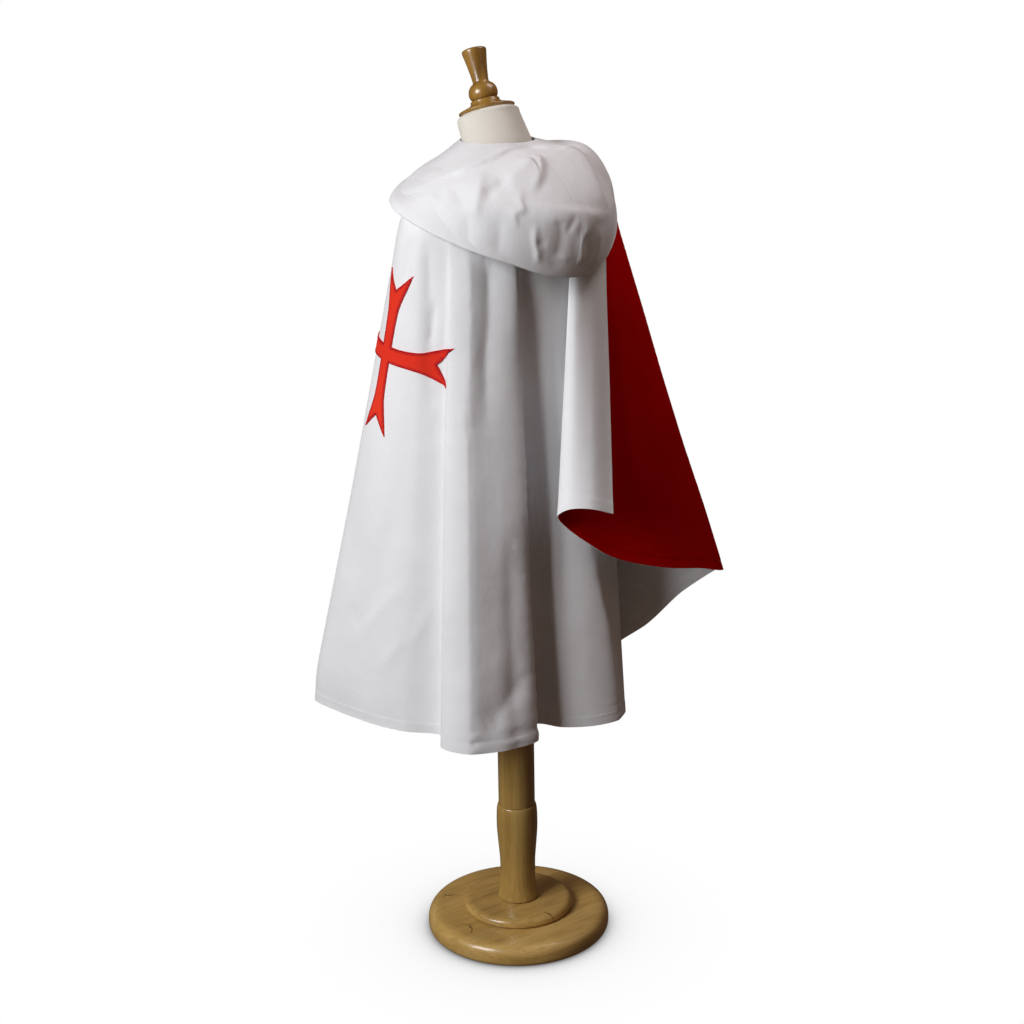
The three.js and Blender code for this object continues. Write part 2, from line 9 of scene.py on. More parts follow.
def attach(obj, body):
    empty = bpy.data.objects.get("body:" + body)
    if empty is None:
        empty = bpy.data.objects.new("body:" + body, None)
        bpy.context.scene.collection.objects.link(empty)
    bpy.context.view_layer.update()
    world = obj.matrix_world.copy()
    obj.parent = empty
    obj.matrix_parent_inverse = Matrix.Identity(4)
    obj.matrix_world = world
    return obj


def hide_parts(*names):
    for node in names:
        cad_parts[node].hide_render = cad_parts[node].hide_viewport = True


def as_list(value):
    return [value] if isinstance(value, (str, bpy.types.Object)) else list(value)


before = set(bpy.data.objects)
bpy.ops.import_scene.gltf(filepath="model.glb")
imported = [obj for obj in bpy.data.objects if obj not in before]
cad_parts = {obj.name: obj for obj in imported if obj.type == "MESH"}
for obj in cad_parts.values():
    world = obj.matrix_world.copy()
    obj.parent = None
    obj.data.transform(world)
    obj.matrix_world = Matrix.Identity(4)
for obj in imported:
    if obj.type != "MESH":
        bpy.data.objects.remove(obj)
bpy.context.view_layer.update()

# ---- Camera
# A 72 mm lens stands behind the wearer's left shoulder, at head height of an adult,
# and looks a little down on the cape. It is turned by about a degree.
CAMERA_AWAY = 2.67
CAMERA_HEIGHT = 1.48
CAMERA_ROUND = math.radians(36)  # from straight behind, towards the wearer's left
CAMERA_DOWN = math.radians(17.69)
CAMERA_ROLL = math.radians(0.94)
camera = bpy.data.objects.new("camera", bpy.data.cameras.new("camera"))
camera.data.lens = 72
camera.data.sensor_width = 36
towards = Vector((math.sin(CAMERA_ROUND), math.cos(CAMERA_ROUND), 0))
look = -towards * math.cos(CAMERA_DOWN) - Vector((0, 0, math.sin(CAMERA_DOWN)))
level_right = Vector((-math.cos(CAMERA_ROUND), math.sin(CAMERA_ROUND), 0))
level_up = level_right.cross(look)
right = level_right * math.cos(CAMERA_ROLL) - level_up * math.sin(CAMERA_ROLL)
upward = level_up * math.cos(CAMERA_ROLL) + level_right * math.sin(CAMERA_ROLL)
camera.matrix_world = Matrix.Translation(
    towards * CAMERA_AWAY + Vector((0, 0, CAMERA_HEIGHT))
) @ Matrix((right, upward, -look)).transposed().to_4x4()
bpy.context.scene.collection.objects.link(camera)
bpy.context.scene.camera = camera

# ---- Round base
# Two discs of pale hardwood, turned, glued one on the other and varnished honey brown.
# Their edges are rounded over, the grain runs straight across both, and the old varnish has a
# few fine cracks.
MM = 0.001
FIT = 0.3  # mm between pieces that touch
ROUNDED_SHARE = 0.45  # the most of a side that the rounding of one corner takes up


def new_piece(name, points, faces, material, uv=None, crease_angle=40):
    """A mesh piece in the body, smooth but for edges sharper than the angle (degrees)."""
    mesh = bpy.data.meshes.new(name)
    mesh.from_pydata([tuple(p) for p in points], [], [tuple(f) for f in faces])
    mesh.validate()
    mesh.materials.append(material)
    if uv is not None:
        layer = mesh.uv_layers.new(name="cloth")
        corner = np.empty(len(mesh.loops), np.int32)
        mesh.loops.foreach_get("vertex_index", corner)
        layer.data.foreach_set("uv", np.asarray(uv, np.float32)[corner].ravel())
    mesh.shade_smooth()
    mesh.set_sharp_from_angle(angle=math.radians(crease_angle))
    piece = bpy.data.objects.new(name, mesh)
    bpy.context.scene.collection.objects.link(piece)
    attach(piece, "root")
    return piece


def eased(profile, reach):
    """The profile with each corner rounded, starting that far from it."""
    line = [np.array(p, float) for p in profile]
    smooth = [line[0]]
    for before, corner, after in zip(line, line[1:], line[2:]):
        back, on = before - corner, after - corner
        start = corner + back * min(reach / np.linalg.norm(back), ROUNDED_SHARE)
        end = corner + on * min(reach / np.linalg.norm(on), ROUNDED_SHARE)
        for t in np.linspace(0, 1, 5):
            smooth.append(start * (1 - t) ** 2 + corner * 2 * t * (1 - t) + end * t**2)
    smooth.append(line[-1])
    return np.array(smooth)


def grid_faces(count_i, count_j, start=0, closed=False):
    """Quads between neighbouring points of a grid, numbered down each column."""
    last = count_i if closed else count_i - 1
    i, j = np.meshgrid(np.arange(last), np.arange(count_j - 1), indexing="ij")
    a = start + i * count_j + j
    b = start + ((i + 1) % count_i) * count_j + j
    return np.stack([a, a + 1, b + 1, b], -1).reshape(-1, 4)


def closed_tube(grid, foot, top):
    """Points and faces round a grid of columns, clockwise from above, and its two end points."""
    count, levels = grid.shape[:2]
    points = np.vstack([grid.reshape(-1, 3), foot, top])
    low, high = len(points) - 2, len(points) - 1
    faces = grid_faces(count, levels, closed=True).tolist()
    for k in range(count):
        here, after = k * levels, (k + 1) % count * levels
        faces += [(low, here, after), (high, after + levels - 1, here + levels - 1)]
    return points, faces


def turned(name, profile, reach, material, place=None, sides=128):
    """A lathe-turned piece: (radius, height) in millimetres, from the axis to the axis again.
    Its corners are rounded from that reach on, also in millimetres."""
    line = eased(profile, reach) * MM
    turns = np.linspace(0, 2 * math.pi, sides, endpoint=False)[:, None]
    out, up = line[1:-1].T
    grid = np.stack([out * np.cos(turns), -out * np.sin(turns), up + 0 * turns], -1)
    points, faces = closed_tube(grid, (0, 0, line[0, 1]), (0, 0, line[-1, 1]))
    if place is not None:
        points = np.array([place @ Vector(p) for p in points])
    piece = new_piece(name, points, faces, material, crease_angle=50)
    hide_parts(name)


def nodes_of(name):
    """A new material with its node maker, its linker and its Principled shader."""
    material = bpy.data.materials.new(name)
    material.use_nodes = True
    tree = material.node_tree
    shader = tree.nodes["Principled BSDF"]

    def node(kind, **values):
        made = tree.nodes.new(kind)
        for key, value in values.items():
            if key in made.inputs:
                made.inputs[key].default_value = value
            else:
                setattr(made, key, value)
        return made

    return material, node, tree.links.new, shader


def set_inputs(node, values):
    """Sets a node's own values, by their names."""
    for label, value in values.items():
        node.inputs[label].default_value = value


def noise(node, link, vector, **values):
    """The outputs of a noise texture that reads the vector."""
    texture = node("ShaderNodeTexNoise", **values)
    link(vector, texture.inputs["Vector"])
    return texture.outputs


def ramp_of(node, link, source, stops):
    """The colour that a ramp with (place, linear colour) stops gives for the source."""
    ramp = node("ShaderNodeValToRGB")
    elements = ramp.color_ramp.elements
    while len(elements) < len(stops):
        elements.new(1)
    for element, (place, colour) in zip(elements, stops):
        element.position = place
        element.color = (*colour, 1)
    link(source, ramp.inputs["Fac"])
    return ramp.outputs["Color"]


def multiplied(node, link, under, over, factor):
    """Two colours multiplied, as far as the factor goes: a number, or what a node gives."""
    mix = node("ShaderNodeMix", data_type="RGBA", blend_type="MULTIPLY")
    link(under, mix.inputs["A"])
    link(over, mix.inputs["B"])
    if isinstance(factor, float):
        set_inputs(mix, {"Factor": factor})
    else:
        link(factor, mix.inputs["Factor"])
    return mix.outputs["Result"]


def varnished_wood(name, dark, middle, light, grain, coat):
    """Turned hardwood under varnish. grain is the stretch of its figure along each axis."""
    material, node, link, shader = nodes_of(name)
    place = node("ShaderNodeTexCoord").outputs["Object"]
    stretch = node("ShaderNodeMapping", Scale=grain)
    link(place, stretch.inputs["Vector"])
    along = stretch.outputs["Vector"]
    figure = noise(node, link, along, Scale=1.0, Detail=5.0, Roughness=0.6, Distortion=0.6)["Fac"]
    pores = noise(node, link, along, Scale=7.0, Detail=3.0, Roughness=0.7)["Fac"]
    blotch = noise(node, link, place, Scale=9.0, Detail=2.0)["Fac"]
    colour = ramp_of(node, link, figure, [(0.3, dark), (0.5, middle), (0.7, light)])
    streak = ramp_of(node, link, pores, [(0.36, (0.62, 0.6, 0.56)), (0.5, (1, 1, 1))])
    colour = multiplied(node, link, colour, streak, 0.45)
    shade = ramp_of(
        node, link, blotch, [(0.35, (0.78, 0.76, 0.72)), (0.65, (1.05, 1.04, 1.0))])
    colour = multiplied(node, link, colour, shade, 0.8)
    wander = noise(node, link, place, Scale=60.0, Detail=2.0)["Color"]
    bent = node("ShaderNodeVectorMath", operation="MULTIPLY_ADD")
    bent.inputs[1].default_value = (0.02, 0.02, 0.02)
    link(wander, bent.inputs[0])
    link(place, bent.inputs[2])
    cracks = node("ShaderNodeTexVoronoi", feature="DISTANCE_TO_EDGE", Scale=15.0)
    link(bent.outputs["Vector"], cracks.inputs["Vector"])
    crack = ramp_of(
        node, link, cracks.outputs["Distance"], [(0.0, (0.16, 0.12, 0.07)), (0.02, (1, 1, 1))])
    worn = noise(node, link, place, Scale=17.0, Detail=1.0)["Fac"]
    where_worn = ramp_of(node, link, worn, [(0.65, (0, 0, 0)), (0.70, (1, 1, 1))])
    colour = multiplied(node, link, colour, crack, where_worn)
    link(colour, shader.inputs["Base Color"])
    wear = node("ShaderNodeMapRange")
    set_inputs(wear, {"To Min": 0.26, "To Max": 0.42})
    link(blotch, wear.inputs["Value"])
    link(wear.outputs["Result"], shader.inputs["Roughness"])
    bump = node("ShaderNodeBump", Strength=0.25, Distance=0.0004)
    link(pores, bump.inputs["Height"])
    link(bump.outputs["Normal"], shader.inputs["Normal"])
    set_inputs(shader, {"Coat Weight": coat, "Coat Roughness": 0.12})
    return material


base_wood = varnished_wood(
    "base_wood",
    dark=(0.43, 0.265, 0.075),
    middle=(0.56, 0.355, 0.11),
    light=(0.64, 0.43, 0.155),
    grain=(2.2, 26, 60),
    coat=0.4,
)
BASE_RADIUS = 131
BASE_THICKNESS = 30
STEP_RADIUS = 78.5
STEP_TOP = 44
turned("base_disc", [
    (0, 0), (BASE_RADIUS - 4, 0), (BASE_RADIUS, 4), (BASE_RADIUS, BASE_THICKNESS - 13),
    (BASE_RADIUS - 3, BASE_THICKNESS - 6), (BASE_RADIUS - 9, BASE_THICKNESS - 1.5),
    (BASE_RADIUS - 16, BASE_THICKNESS), (0, BASE_THICKNESS),
], 5, base_wood, sides=160)
turned("base_step", [
    (0, BASE_THICKNESS + FIT), (STEP_RADIUS - 3, BASE_THICKNESS + FIT),
    (STEP_RADIUS, BASE_THICKNESS + 3), (STEP_RADIUS - 0.5, STEP_TOP - 5),
    (STEP_RADIUS - 4, STEP_TOP - 1.5), (STEP_RADIUS - 9, STEP_TOP), (0, STEP_TOP),
], 3, base_wood, sides=160)

# ---- Post
# A hardwood post on a turned, slightly waisted sleeve that stands in the base.
# Its grain runs up the post, under a glossier coat of the base's varnish.
post_wood = varnished_wood(
    "post_wood",
    dark=(0.34, 0.205, 0.05),
    middle=(0.46, 0.29, 0.08),
    light=(0.56, 0.375, 0.13),
    grain=(34, 34, 1.6),
    coat=0.75,
)
POST_RADIUS = 26
POST_TOP = 559.7
FOOT_TOP = 192
turned("post_foot", [
    (0, STEP_TOP + FIT), (29.5, STEP_TOP + FIT), (28.5, 50), (26, 62), (25, 80), (25.4, 105),
    (27.5, 130), (29.2, 152), (29.4, 170), (28.8, 184), (27.6, 190), (26.3, FOOT_TOP),
    (0, FOOT_TOP),
], 6, post_wood)
turned("post", [
    (0, FOOT_TOP + FIT), (POST_RADIUS, FOOT_TOP + FIT), (POST_RADIUS, POST_TOP), (0, POST_TOP),
], 0.6, post_wood)

# ---- Torso of the form
# A padded shell of a child's torso and short neck, covered in cream cotton jersey.
# The cover is drawn tight and gathered under the neck cap.
TORSO = [  # height, half width, half depth, how far back
    (560, 120, 88, 0), (640, 122, 89, 0), (720, 115, 86, 0), (800, 108, 81, 0),
    (880, 118, 84, 0), (950, 126, 83, 0), (1000, 131, 80, 0), (1035, 134, 75, 0),
    (1060, 124, 70, -2), (1078, 111, 66, -4), (1092, 88, 59, -9), (1103, 66, 52, -14),
    (1112, 50, 48, -18), (1128, 46, 47, -19),
]
NECK_TOP = Vector((0, -40, 1166))
NECK_RADIUS = 41.5
NECK_END = [(NECK_RADIUS, 9), (NECK_RADIUS - 0.6, 3.5), (NECK_RADIUS - 5, 0)]  # radius, below top
NECK_TILT = math.radians(20)  # forward
TORSO_LEVELS = 150
JERSEY_ROUND = 0.11  # the radius that the jersey's map goes round, in metres
WAVE_LENGTH = 0.314  # of a wave texture at scale 1, in metres
tilted = Matrix.Translation(NECK_TOP * MM) @ Matrix.Rotation(NECK_TILT, 4, "X")


def smooth_line(points, shares):
    """The smooth curve through points, along the first axis, read at shares from 0 to 1."""
    points = np.asarray(points, float)
    where = np.clip(np.asarray(shares, float), 0, 1) * (len(points) - 1)
    k = np.minimum(where.astype(int), len(points) - 2)
    w = (where - k).reshape((-1,) + (1,) * (points.ndim - 1))
    first, last = 2 * points[0] - points[1], 2 * points[-1] - points[-2]
    line = np.concatenate([first[None], points, last[None]])
    p0, p1, p2, p3 = line[k], line[k + 1], line[k + 2], line[k + 3]
    d0, d1, d2 = (
        np.maximum(np.linalg.norm(b - a, axis=-1, keepdims=True), 1e-9) ** 0.5
        for a, b in ((p0, p1), (p1, p2), (p2, p3))
    )
    m1 = d1 * ((p1 - p0) / d0 - (p2 - p0) / (d0 + d1) + (p2 - p1) / d1)
    m2 = d1 * ((p2 - p1) / d1 - (p3 - p1) / (d1 + d2) + (p3 - p2) / d2)
    bend = -3 * p1 + 3 * p2 - 2 * m1 - m2
    twist = 2 * p1 - 2 * p2 + m1 + m2
    return p1 + m1 * w + bend * w**2 + twist * w**3


def on_oval(degrees, half, back, front, shift, height):
    """Points on an oval round the post's axis, in millimetres."""
    turn = np.radians(degrees)
    depth = np.where(np.cos(turn) > 0, back, front)
    return np.stack([
        half * np.sin(turn), shift + depth * np.cos(turn), height + 0 * turn,
    ], -1)


def cotton(name, colours, thread, crumple, sheen, rib=(1, 1), specular=0.25):
    """Woven or knitted cotton that reads the piece's own map, in metres. thread is the distance
    between threads, and crumple how deep its soft unevenness is."""
    material, node, link, shader = nodes_of(name)
    place = node("ShaderNodeTexCoord").outputs
    threads = node("ShaderNodeMath", operation="ADD")
    for k, (direction, share) in enumerate(zip(("X", "Y"), rib)):
        weave = node(
            "ShaderNodeTexWave", wave_type="BANDS", bands_direction=direction,
            Scale=WAVE_LENGTH / thread, Distortion=0.6, Detail=1.0)
        set_inputs(weave, {"Detail Scale": 2.0})
        link(place["UV"], weave.inputs["Vector"])
        part = node("ShaderNodeMath", operation="MULTIPLY")
        part.inputs[1].default_value = share
        link(weave.outputs["Fac"], part.inputs[0])
        link(part.outputs["Value"], threads.inputs[k])
    uneven = noise(node, link, place["Object"], Scale=38.0, Detail=4.0, Roughness=0.55)["Fac"]
    cloud = noise(node, link, place["Object"], Scale=7.0, Detail=3.0, Roughness=0.6)["Fac"]
    slub = noise(node, link, place["Object"], Scale=900.0, Detail=2.0)["Fac"]
    colour = ramp_of(node, link, cloud, [(0.34, colours[0]), (0.66, colours[1])])
    fleck = ramp_of(node, link, slub, [(0.3, (0.93, 0.93, 0.93)), (0.6, (1, 1, 1))])
    link(multiplied(node, link, colour, fleck, 0.6), shader.inputs["Base Color"])
    soft = node("ShaderNodeBump", Strength=1.0, Distance=crumple)
    fine = node("ShaderNodeBump", Strength=0.35, Distance=thread * 0.12)
    link(uneven, soft.inputs["Height"])
    link(threads.outputs["Value"], fine.inputs["Height"])
    link(soft.outputs["Normal"], fine.inputs["Normal"])
    link(fine.outputs["Normal"], shader.inputs["Normal"])
    set_inputs(shader, {
        "Roughness": 0.88, "Specular IOR Level": specular, "Sheen Weight": sheen,
        "Sheen Roughness": 0.45,
    })
    return material


jersey = cotton(
    "cream_jersey", [(0.66, 0.62, 0.55), (0.74, 0.71, 0.64)], thread=0.0011, crumple=0.0004,
    sheen=0.1, rib=(1, 0.3))
turns = np.linspace(0, 360, 128, endpoint=False)
torso_rings = [
    on_oval(turns, half, deep, deep, shift, height) for height, half, deep, shift in TORSO]
torso_rings += [
    np.array([
        (tilted @ (Vector((radius * math.sin(t), radius * math.cos(t), -below)) * MM)) / MM
        for t in np.radians(turns)
    ]) for radius, below in NECK_END
]
torso_grid = smooth_line(
    np.array(torso_rings), np.linspace(0, 1, TORSO_LEVELS)).transpose(1, 0, 2) * MM
torso_points, torso_faces = closed_tube(
    torso_grid, (0, 0, TORSO[0][0] * MM), tuple(NECK_TOP * MM))
torso_map = np.stack([
    np.repeat(np.radians(turns) * JERSEY_ROUND, TORSO_LEVELS),
    np.tile(torso_grid[0, :, 2], len(turns)),
], -1)
torso_map = np.vstack([torso_map, (0, 0), (0, 0)])
torso = new_piece("torso_cover", torso_points, torso_faces, jersey, torso_map)
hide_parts("form_torso")

# ---- Neck cap and knob
# A turned cap closes the neck and carries a ball and a flared knob, by which the form is lifted.
# They are of a redder and darker wood than the stand, and varnished as it is.
cap_wood = varnished_wood(
    "cap_wood",
    dark=(0.20, 0.095, 0.016),
    middle=(0.34, 0.18, 0.034),
    light=(0.46, 0.27, 0.06),
    grain=(40, 40, 5),
    coat=0.6,
)
CAP_TOP = 16
turned("neck_cap", [
    (0, FIT), (34.5, FIT), (37.6, 3.4), (36.6, 4.8), (30, 7), (23, 9.2), (19.5, 12),
    (19, CAP_TOP), (0, CAP_TOP),
], 1.0, cap_wood, tilted)
turned("neck_knob", [
    (0, CAP_TOP + FIT), (15, CAP_TOP + FIT), (18, 19), (19.4, 24), (18.8, 30), (15.5, 35.5),
    (11.5, 38), (10.4, 40), (11.8, 53), (14, 67), (16.2, 79), (16.4, 81.5), (14.5, 83.5),
    (8, 84.7), (0, 85),
], 3, cap_wood, tilted)

# ---- Cape
# Three flared panels of white cotton drill, single, with a turned and stitched hem, are seamed
# from the neckline over the shoulders down the sides. The cape hangs in long soft folds, and its
# right front is thrown back over the shoulder, where it folds out, and out again at its edge.
HEM_HEIGHT = 356
NECKLINE_HEIGHT = 1114
SHOULDER_HEIGHT = 1047
NECKLINE = (56, 54, 54, -19)  # half width, half depth behind and in front, how far back
SLOPE, SLOPE_HEIGHT = (104, 74, 74, -3), 1093
YOKE, YOKE_HEIGHT = (133, 83, 80, -1), 1074
SHOULDERS = (153, 90, 92, 0)
# Each line of the cloth: its degrees on the neckline, on the shoulders and at the hem, and how
# far out it ends.
BODY_TURNS = [
    (176, 177, 176, 188), (168, 167, 166, 216), (158, 154, 155, 206), (147, 141, 141, 262),
    (134, 127, 127, 288), (117, 110, 116, 256), (101, 93, 104, 225), (84, 75, 89, 193),
    (66, 57, 73, 164), (62, 53, 64.5, 196), (54, 43, 50, 197), (44, 31, 36, 182),
    (35, 21, 25, 155), (31, 17, 28, 113), (24, 11, 18, 106), (13, 2, 5, 129), (0, -9, -8, 150),
    (-16, -24, -21, 163), (-28, -37, -33, 163), (-42, -50, -48, 138),
]
# On the thrown-back front: degrees on the neckline, points at the front, crest, yoke and blade,
# then the hem's degrees, distance out and height.
FLAP_TURNS = [
    (-56, (-88, 10, 1100), (-117, 26, 1072), (-122, 44, 1034), (-122, 54, 985), -69, 127, 362),
    (-68, (-92, -2, 1099), (-127, 18, 1071), (-130, 40, 1036), (-127, 54, 992), -73, 150, 408),
    (-78, (-95, -12, 1096), (-135, 8, 1069), (-137, 32, 1038), (-132, 52, 998), -63, 192, 452),
    (-86, (-97, -19, 1092), (-140, 0, 1067), (-141, 24, 1040), (-136, 48, 1003), -61, 238, 497),
    (-93, (-99, -25, 1089), (-144, -6, 1066), (-145, 18, 1043), (-143, 47, 1008), -57, 287, 537),
    (-98, (-104, -40, 1080), (-142, -8, 1079), (-144, 25, 1053), (-141, 55, 1010), -54, 288, 539),
    (-106, (-96, -46, 1088), (-134, 4, 1085), (-134, 42, 1060), (-126, 67, 1006), -48, 257, 552),
    (-116, (-90, -51, 1093), (-121, 9, 1092), (-116, 56, 1066), (-106, 80, 996), -38, 214, 565),
    (-128, (-86, -56, 1098), (-107, 11, 1100), (-90, 69, 1070), (-76, 94, 984), -17, 167, 595),
    (-138, (-82, -60, 1101), (-95, 12, 1105), (-66, 78, 1073), (-48, 101, 976), -2, 155, 625),
    (-146, (-79, -64, 1103), (-87, 11, 1108), (-50, 83, 1073), (-28, 103, 970), 9, 153, 650),
    (-152, (-78, -70, 1107), (-82, 6, 1113.5), (-42, 89, 1074), (-18, 109, 966), 15.5, 167, 671),
    (-158, (-84, -78, 1104), (-88, 1, 1118.5), (-50, 95, 1074), (-24, 115, 967), 13, 189, 686),
    (-167, (-94, -88, 1084), (-107, -6, 1112), (-74, 90, 1069), (-52, 112, 974), 6.5, 203, 687),
    (-176, (-103, -94, 1054), (-131, -10, 1101), (-104, 81, 1063), (-87, 98, 986), -2.5, 209, 676),
]
BLADE_SHARE = 0.12  # how far below the shoulders the cloth hangs free
BLADE_FULLNESS = 3
MIDDLE_SHARE = 0.55
LEFT_SEAM_ROW = 9
RIGHT_SEAM_ROW = 19
SEAM_DEPTH = 0.15 * MM
HEM_DEPTH = 14 * MM
HEM_THICKENING = 0.4 * MM
HEM_EDGE = 1.5 * MM  # how soft the step at the hem's upper edge is
CLOTH = 1.4 * MM
STEPS_PER_ROW = 14
SEAM_COLUMNS = (-0.06, -0.025, 0.025, 0.06)  # rows aside of a seam


def polar(degrees, out, height):
    """A point at a distance from the post's axis."""
    turn = math.radians(degrees)
    return np.array([out * math.sin(turn), out * math.cos(turn), height])


def body_row(neck, shoulder, hem, out):
    """A line of the cloth, from the neckline to the hem."""
    top = on_oval(shoulder, *SHOULDERS, SHOULDER_HEIGHT)
    end = polar(hem, out, HEM_HEIGHT)
    blade = top + (end - top) * BLADE_SHARE
    away = top * (1, 1, 0)
    return [
        on_oval(neck, *NECKLINE, NECKLINE_HEIGHT),
        on_oval((neck + shoulder) / 2, *SLOPE, SLOPE_HEIGHT),
        on_oval(shoulder, *YOKE, YOKE_HEIGHT),
        top,
        blade + away / np.linalg.norm(away) * BLADE_FULLNESS,
        top + (end - top) * MIDDLE_SHARE,
        end,
    ]


def flap_row(neck, front, crest, yoke, blade, hem, out, low):
    """A line of the thrown-back front, from the neckline to its hem."""
    end = polar(hem, out, low)
    middle = (np.array(blade) + end) / 2
    return [on_oval(neck, *NECKLINE, NECKLINE_HEIGHT), front, crest, yoke, blade, middle, end]


def ways_out(points):
    """The unit normal at each point of a grid of columns."""
    across, down = np.gradient(points, axis=0), np.gradient(points, axis=1)
    way = np.cross(down, across)
    return way / np.maximum(np.linalg.norm(way, axis=-1, keepdims=True), 1e-12)


def columns_of(last_row, steps_per_row, seams):
    """The rows that the cloth's columns lie at: evenly spread, and close together by a seam."""
    even = np.linspace(0, last_row, last_row * steps_per_row + 1)
    close = [seam + aside for seam in seams for aside in SEAM_COLUMNS]
    return np.sort(np.concatenate([even, close]))


CREST = 0.28  # how round a crease's crest is, in its own widths
CREASE_REACH = 2.6  # how far it reaches to each side, in its own widths
CREASE_FALL = 2.4  # how steeply it falls away from its crest
CREASE_ENDS = 0.3  # the share of its length in which each end fades
PATH_STEPS = 48


def draped(rows, row_of, shares, creases, seams, facing=1):
    """A cloth through rows of points, pushed out along ridges, in along troughs and in at seams.
    Gives its points in columns, in metres."""
    rows = np.array(rows, float) * MM
    count = len(row_of)
    lines = smooth_line(rows, row_of / (len(rows) - 1))
    points = smooth_line(lines.transpose(1, 0, 2), shares).transpose(1, 0, 2)
    out = ways_out(points) * facing
    per_row = np.linalg.norm(np.gradient(points, row_of, axis=0), axis=-1) / MM
    per_share = np.linalg.norm(np.gradient(points, shares, axis=1), axis=-1) / MM
    push = np.zeros(points.shape[:2])
    for seam in seams:
        push[np.abs(row_of - seam) < 0.01] -= SEAM_DEPTH
    for depth, width_one, width_other, path in creases:
        path = smooth_line(np.array(path, float), np.linspace(0, 1, PATH_STEPS))
        line_row, line_share = path.T
        i = np.interp(line_row, row_of, np.arange(count)).astype(int)
        j = np.interp(line_share, shares, np.arange(len(shares))).astype(int)
        reach = CREASE_REACH * max(width_one, width_other)
        rows_away = reach / per_row[i, j].min()
        near = (row_of > line_row.min() - rows_away) & (row_of < line_row.max() + rows_away)
        ahead_row = row_of[near][:, None, None] - line_row
        ahead_share = shares[None, :, None] - line_share
        away = (ahead_row * per_row[i, j]) ** 2 + (ahead_share * per_share[i, j]) ** 2
        nearest = away.argmin(-1)
        away = np.take_along_axis(away, nearest[..., None], -1)[..., 0]
        along_row, along_share = np.gradient(line_row)[nearest], np.gradient(line_share)[nearest]
        one_side = (
            along_row * (shares[None, :] - line_share[nearest])
            - along_share * (row_of[near][:, None] - line_row[nearest])
        ) > 0
        width = np.where(one_side, width_one, width_other)
        along = nearest / (len(line_row) - 1)
        fade = np.clip(np.minimum(along, 1 - along) / CREASE_ENDS, 0, 1)
        off = np.sqrt(away / width**2 + CREST**2) - CREST
        height = depth * MM * fade * fade * (3 - 2 * fade)
        push[near] += height * np.clip(1 - off / CREASE_REACH, 0, 1) ** CREASE_FALL
    return points + out * push[..., None]


def wall(outer, inner):
    """The closed wall between two grids of the same size: its points and faces."""
    count_i, count_j = outer.shape[:2]
    total = count_i * count_j
    points = np.concatenate([outer.reshape(-1, 3), inner.reshape(-1, 3)])
    front = grid_faces(count_i, count_j)
    back = grid_faces(count_i, count_j, total)[:, ::-1]
    rim = np.concatenate([
        np.arange(count_i - 1) * count_j,
        (count_i - 1) * count_j + np.arange(count_j - 1),
        (np.arange(count_i - 1, 0, -1)) * count_j + count_j - 1,
        np.arange(count_j - 1, 0, -1),
    ])
    after = np.roll(rim, -1)
    side = np.stack([rim, after, after + total, rim + total], -1)
    faces = np.concatenate([front, back, side])
    a, b, c, d = (points[faces[:, k]] for k in range(4))
    volume = (np.cross(b - a, c - a) * a).sum() + (np.cross(c - a, d - a) * a).sum()
    return points, faces if volume > 0 else faces[:, ::-1]


def cloth_map(grid):
    """Where each point lies on the flat cloth, in metres: across it, then down it."""
    across = np.linalg.norm(np.diff(grid, axis=0), axis=-1).mean(1)
    down = np.linalg.norm(np.diff(grid, axis=1), axis=-1).mean(0)
    u = np.concatenate([[0], np.cumsum(across)])
    v = np.concatenate([[0], np.cumsum(down)])
    return np.stack(np.meshgrid(u, v, indexing="ij"), -1)


def area_of(grid):
    """The area of a grid of points, in square metres."""
    a, b = grid[1:, 1:] - grid[:-1, :-1], grid[1:, :-1] - grid[:-1, 1:]
    return np.linalg.norm(np.cross(a, b), axis=-1).sum() / 2


def cloth_panel(name, solid, grid, depths, material, rests_on):
    """A panel of the cloth as a thin wall below a grid of points, mapped as the flat cloth.
    It stands for the solid of that name."""
    out = ways_out(grid)
    points, faces = wall(*(grid - out * depth for depth in depths))
    flat = cloth_map(grid).reshape(-1, 2)
    piece = new_piece(
        name, points, faces, material, np.concatenate([flat, flat]), crease_angle=60)
    area = area_of(grid)
    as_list(rests_on)
    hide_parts(solid)


